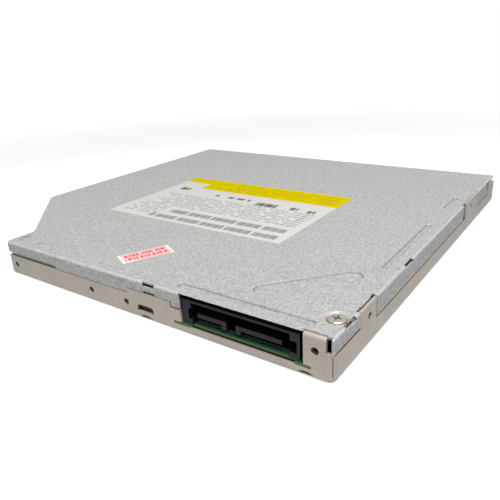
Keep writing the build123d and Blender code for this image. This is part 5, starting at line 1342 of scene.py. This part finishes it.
@dataclass
class Studio:
    """The floor, the lamps, the white surroundings and the camera."""

    camera_place: Point = (-0.09766, 0.13187, 0.05768)
    camera_target: Point = (-0.0213, 0.0276, 0.005)
    camera_roll: float = -3.13
    camera_lens: float = 37.222
    camera_nearest: float = 1.0 * MM
    sensor: float = 36.0
    floor_size: float = 3.0
    surrounding_light: float = 0.1
    floor_grey: float = 0.85
    floor_glow: float = 0.35
    floor_bounce: float = 0.5
    shadow_reach: Range = (0.12, 0.3)
    lamps: tuple[Softbox, ...] = (
        Softbox("lamp_close", (-0.13, 0.13, 0.36), size=0.16, power=1.75),
        Softbox("lamp_left", (-0.4, 0.12, 0.42), size=0.4, power=0.7),
        Softbox("lamp_rear", (-0.15, 0.8, 0.3), size=0.5, power=2.1),
    )

    def build(self) -> None:
        """Set up the whole studio."""
        self.make_camera()
        self.make_world()
        self.make_floor()
        for lamp in self.lamps:
            self.make_lamp(lamp)
        bpy.context.scene.view_settings.view_transform = "Standard"

    def make_camera(self) -> None:
        """Place the camera where the photograph was taken from."""
        data = bpy.data.cameras.new("camera")
        data.lens, data.sensor_width = self.camera_lens, self.sensor
        data.clip_start = self.camera_nearest
        camera = bpy.data.objects.new("camera", data)
        bpy.context.scene.collection.objects.link(camera)
        back = (Vector(self.camera_place) - Vector(self.camera_target)).normalized()
        camera.rotation_mode = "QUATERNION"
        camera.location = self.camera_place
        roll = Quaternion(back, math.radians(self.camera_roll))
        camera.rotation_quaternion = roll @ (-back).to_track_quat("-Z", "Y")
        bpy.context.scene.camera = camera

    def seen_as(self, tree: bpy.types.NodeTree, also: Sequence[str] = ()) -> Socket:
        """Return 1 for rays from the camera and other named kinds, and 0 for light that falls on things.

        Args:
            tree: the node tree that takes the nodes.
            also: the light path's outputs that count as well.

        Returns:
            The socket with the result.
        """
        path = tree.nodes.new("ShaderNodeLightPath")
        total = path.outputs["Is Camera Ray"]
        for name in also:
            add = tree.nodes.new("ShaderNodeMath")
            add.operation = "ADD"
            add.use_clamp = True
            tree.links.new(total, add.inputs[0])
            tree.links.new(path.outputs[name], add.inputs[1])
            total = add.outputs["Value"]
        return total

    def make_world(self) -> None:
        """Make the surroundings white to look at and softer as a light."""
        world = bpy.data.worlds.new("surroundings")
        bpy.context.scene.world = world
        world.use_nodes = True
        tree = world.node_tree
        light = tree.nodes["Background"]
        light.inputs["Color"].default_value = (1.0, 1.0, 1.0, 1.0)
        light.inputs["Strength"].default_value = self.surrounding_light
        seen = tree.nodes.new("ShaderNodeBackground")
        seen.inputs["Color"].default_value = (1.0, 1.0, 1.0, 1.0)
        rays = self.seen_as(tree, ("Is Glossy Ray", "Is Transmission Ray"))
        mix = self.mixed(tree, rays, light.outputs["Background"], seen.outputs["Background"])
        tree.links.new(mix, tree.nodes["World Output"].inputs["Surface"])

    def mixed(self, tree: bpy.types.NodeTree, amount: Socket, first: Socket, second: Socket) -> Socket:
        """Return two shaders mixed.

        Args:
            tree: the node tree that takes the node.
            amount: how much there is of the second.
            first: one shader.
            second: the other shader.

        Returns:
            The mixed shader.
        """
        made = tree.nodes.new("ShaderNodeMixShader")
        for source, target in zip((amount, first, second), made.inputs):
            tree.links.new(source, target)
        return made.outputs["Shader"]

    def make_floor(self) -> None:
        """Lay the pale floor."""
        mesh = bmesh.new()
        bmesh.ops.create_grid(mesh, x_segments=1, y_segments=1, size=self.floor_size)
        data = bpy.data.meshes.new("floor")
        mesh.to_mesh(data)
        mesh.free()
        data.materials.append(self.floor_finish())
        floor = bpy.data.objects.new("floor", data)
        bpy.context.scene.collection.objects.link(floor)

    def floor_finish(self) -> bpy.types.Material:
        """Make the floor's material, which reads as white and still takes the shadow.

        Returns:
            The material.
        """
        material = bpy.data.materials.new("floor_finish")
        material.use_nodes = True
        tree = material.node_tree
        tree.nodes.clear()
        pale, bounce = tree.nodes.new("ShaderNodeBsdfDiffuse"), tree.nodes.new("ShaderNodeBsdfDiffuse")
        pale.inputs["Color"].default_value = (*[self.floor_grey] * 3, 1.0)
        bounce.inputs["Color"].default_value = (*[self.floor_bounce] * 3, 1.0)
        white, glow = tree.nodes.new("ShaderNodeEmission"), tree.nodes.new("ShaderNodeEmission")
        glow.inputs["Strength"].default_value = self.floor_glow
        lit = tree.nodes.new("ShaderNodeAddShader")
        tree.links.new(pale.outputs["BSDF"], lit.inputs[0])
        tree.links.new(glow.outputs["Emission"], lit.inputs[1])
        shown = self.mixed(tree, self.far_off(tree), lit.outputs["Shader"], white.outputs["Emission"])
        output = tree.nodes.new("ShaderNodeOutputMaterial")
        floor = self.mixed(tree, self.seen_as(tree), bounce.outputs["BSDF"], shown)
        tree.links.new(floor, output.inputs["Surface"])
        return material

    def far_off(self, tree: bpy.types.NodeTree) -> Socket:
        """Return 0 on the floor by the object and 1 beyond the reach of its shadow.

        Args:
            tree: the node tree that takes the nodes.

        Returns:
            How far off a place on the floor is.
        """
        place = tree.nodes.new("ShaderNodeTexCoord")
        length = tree.nodes.new("ShaderNodeVectorMath")
        length.operation = "LENGTH"
        fade = tree.nodes.new("ShaderNodeMapRange")
        fade.interpolation_type = "SMOOTHSTEP"
        fade.inputs["From Min"].default_value, fade.inputs["From Max"].default_value = self.shadow_reach
        tree.links.new(place.outputs["Object"], length.inputs[0])
        tree.links.new(length.outputs["Value"], fade.inputs["Value"])
        return fade.outputs["Result"]

    def make_lamp(self, lamp: Softbox) -> None:
        """Hang one lamp, turned to the object.

        Args:
            lamp: the lamp.
        """
        data = bpy.data.lights.new(lamp.name, "AREA")
        data.size, data.energy = lamp.size, lamp.power
        hung = bpy.data.objects.new(lamp.name, data)
        hung.location = lamp.place
        hung.rotation_mode = "QUATERNION"
        hung.rotation_quaternion = (-Vector(lamp.place)).to_track_quat("-Z", "Y")
        bpy.context.scene.collection.objects.link(hung)


def main() -> None:
    """Load the model, set the studio, and dress and complete each group in turn."""
    logging.basicConfig(level=logging.INFO, format="%(name)s: %(message)s")
    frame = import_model()
    Studio().build()
    for group in (Shell, Labels, MainBoard, FlatCable, Rails, Tray, Traverse):
        made = group(frame)
        made.dress()
        made.build()


if __name__ == "__main__":
    main()
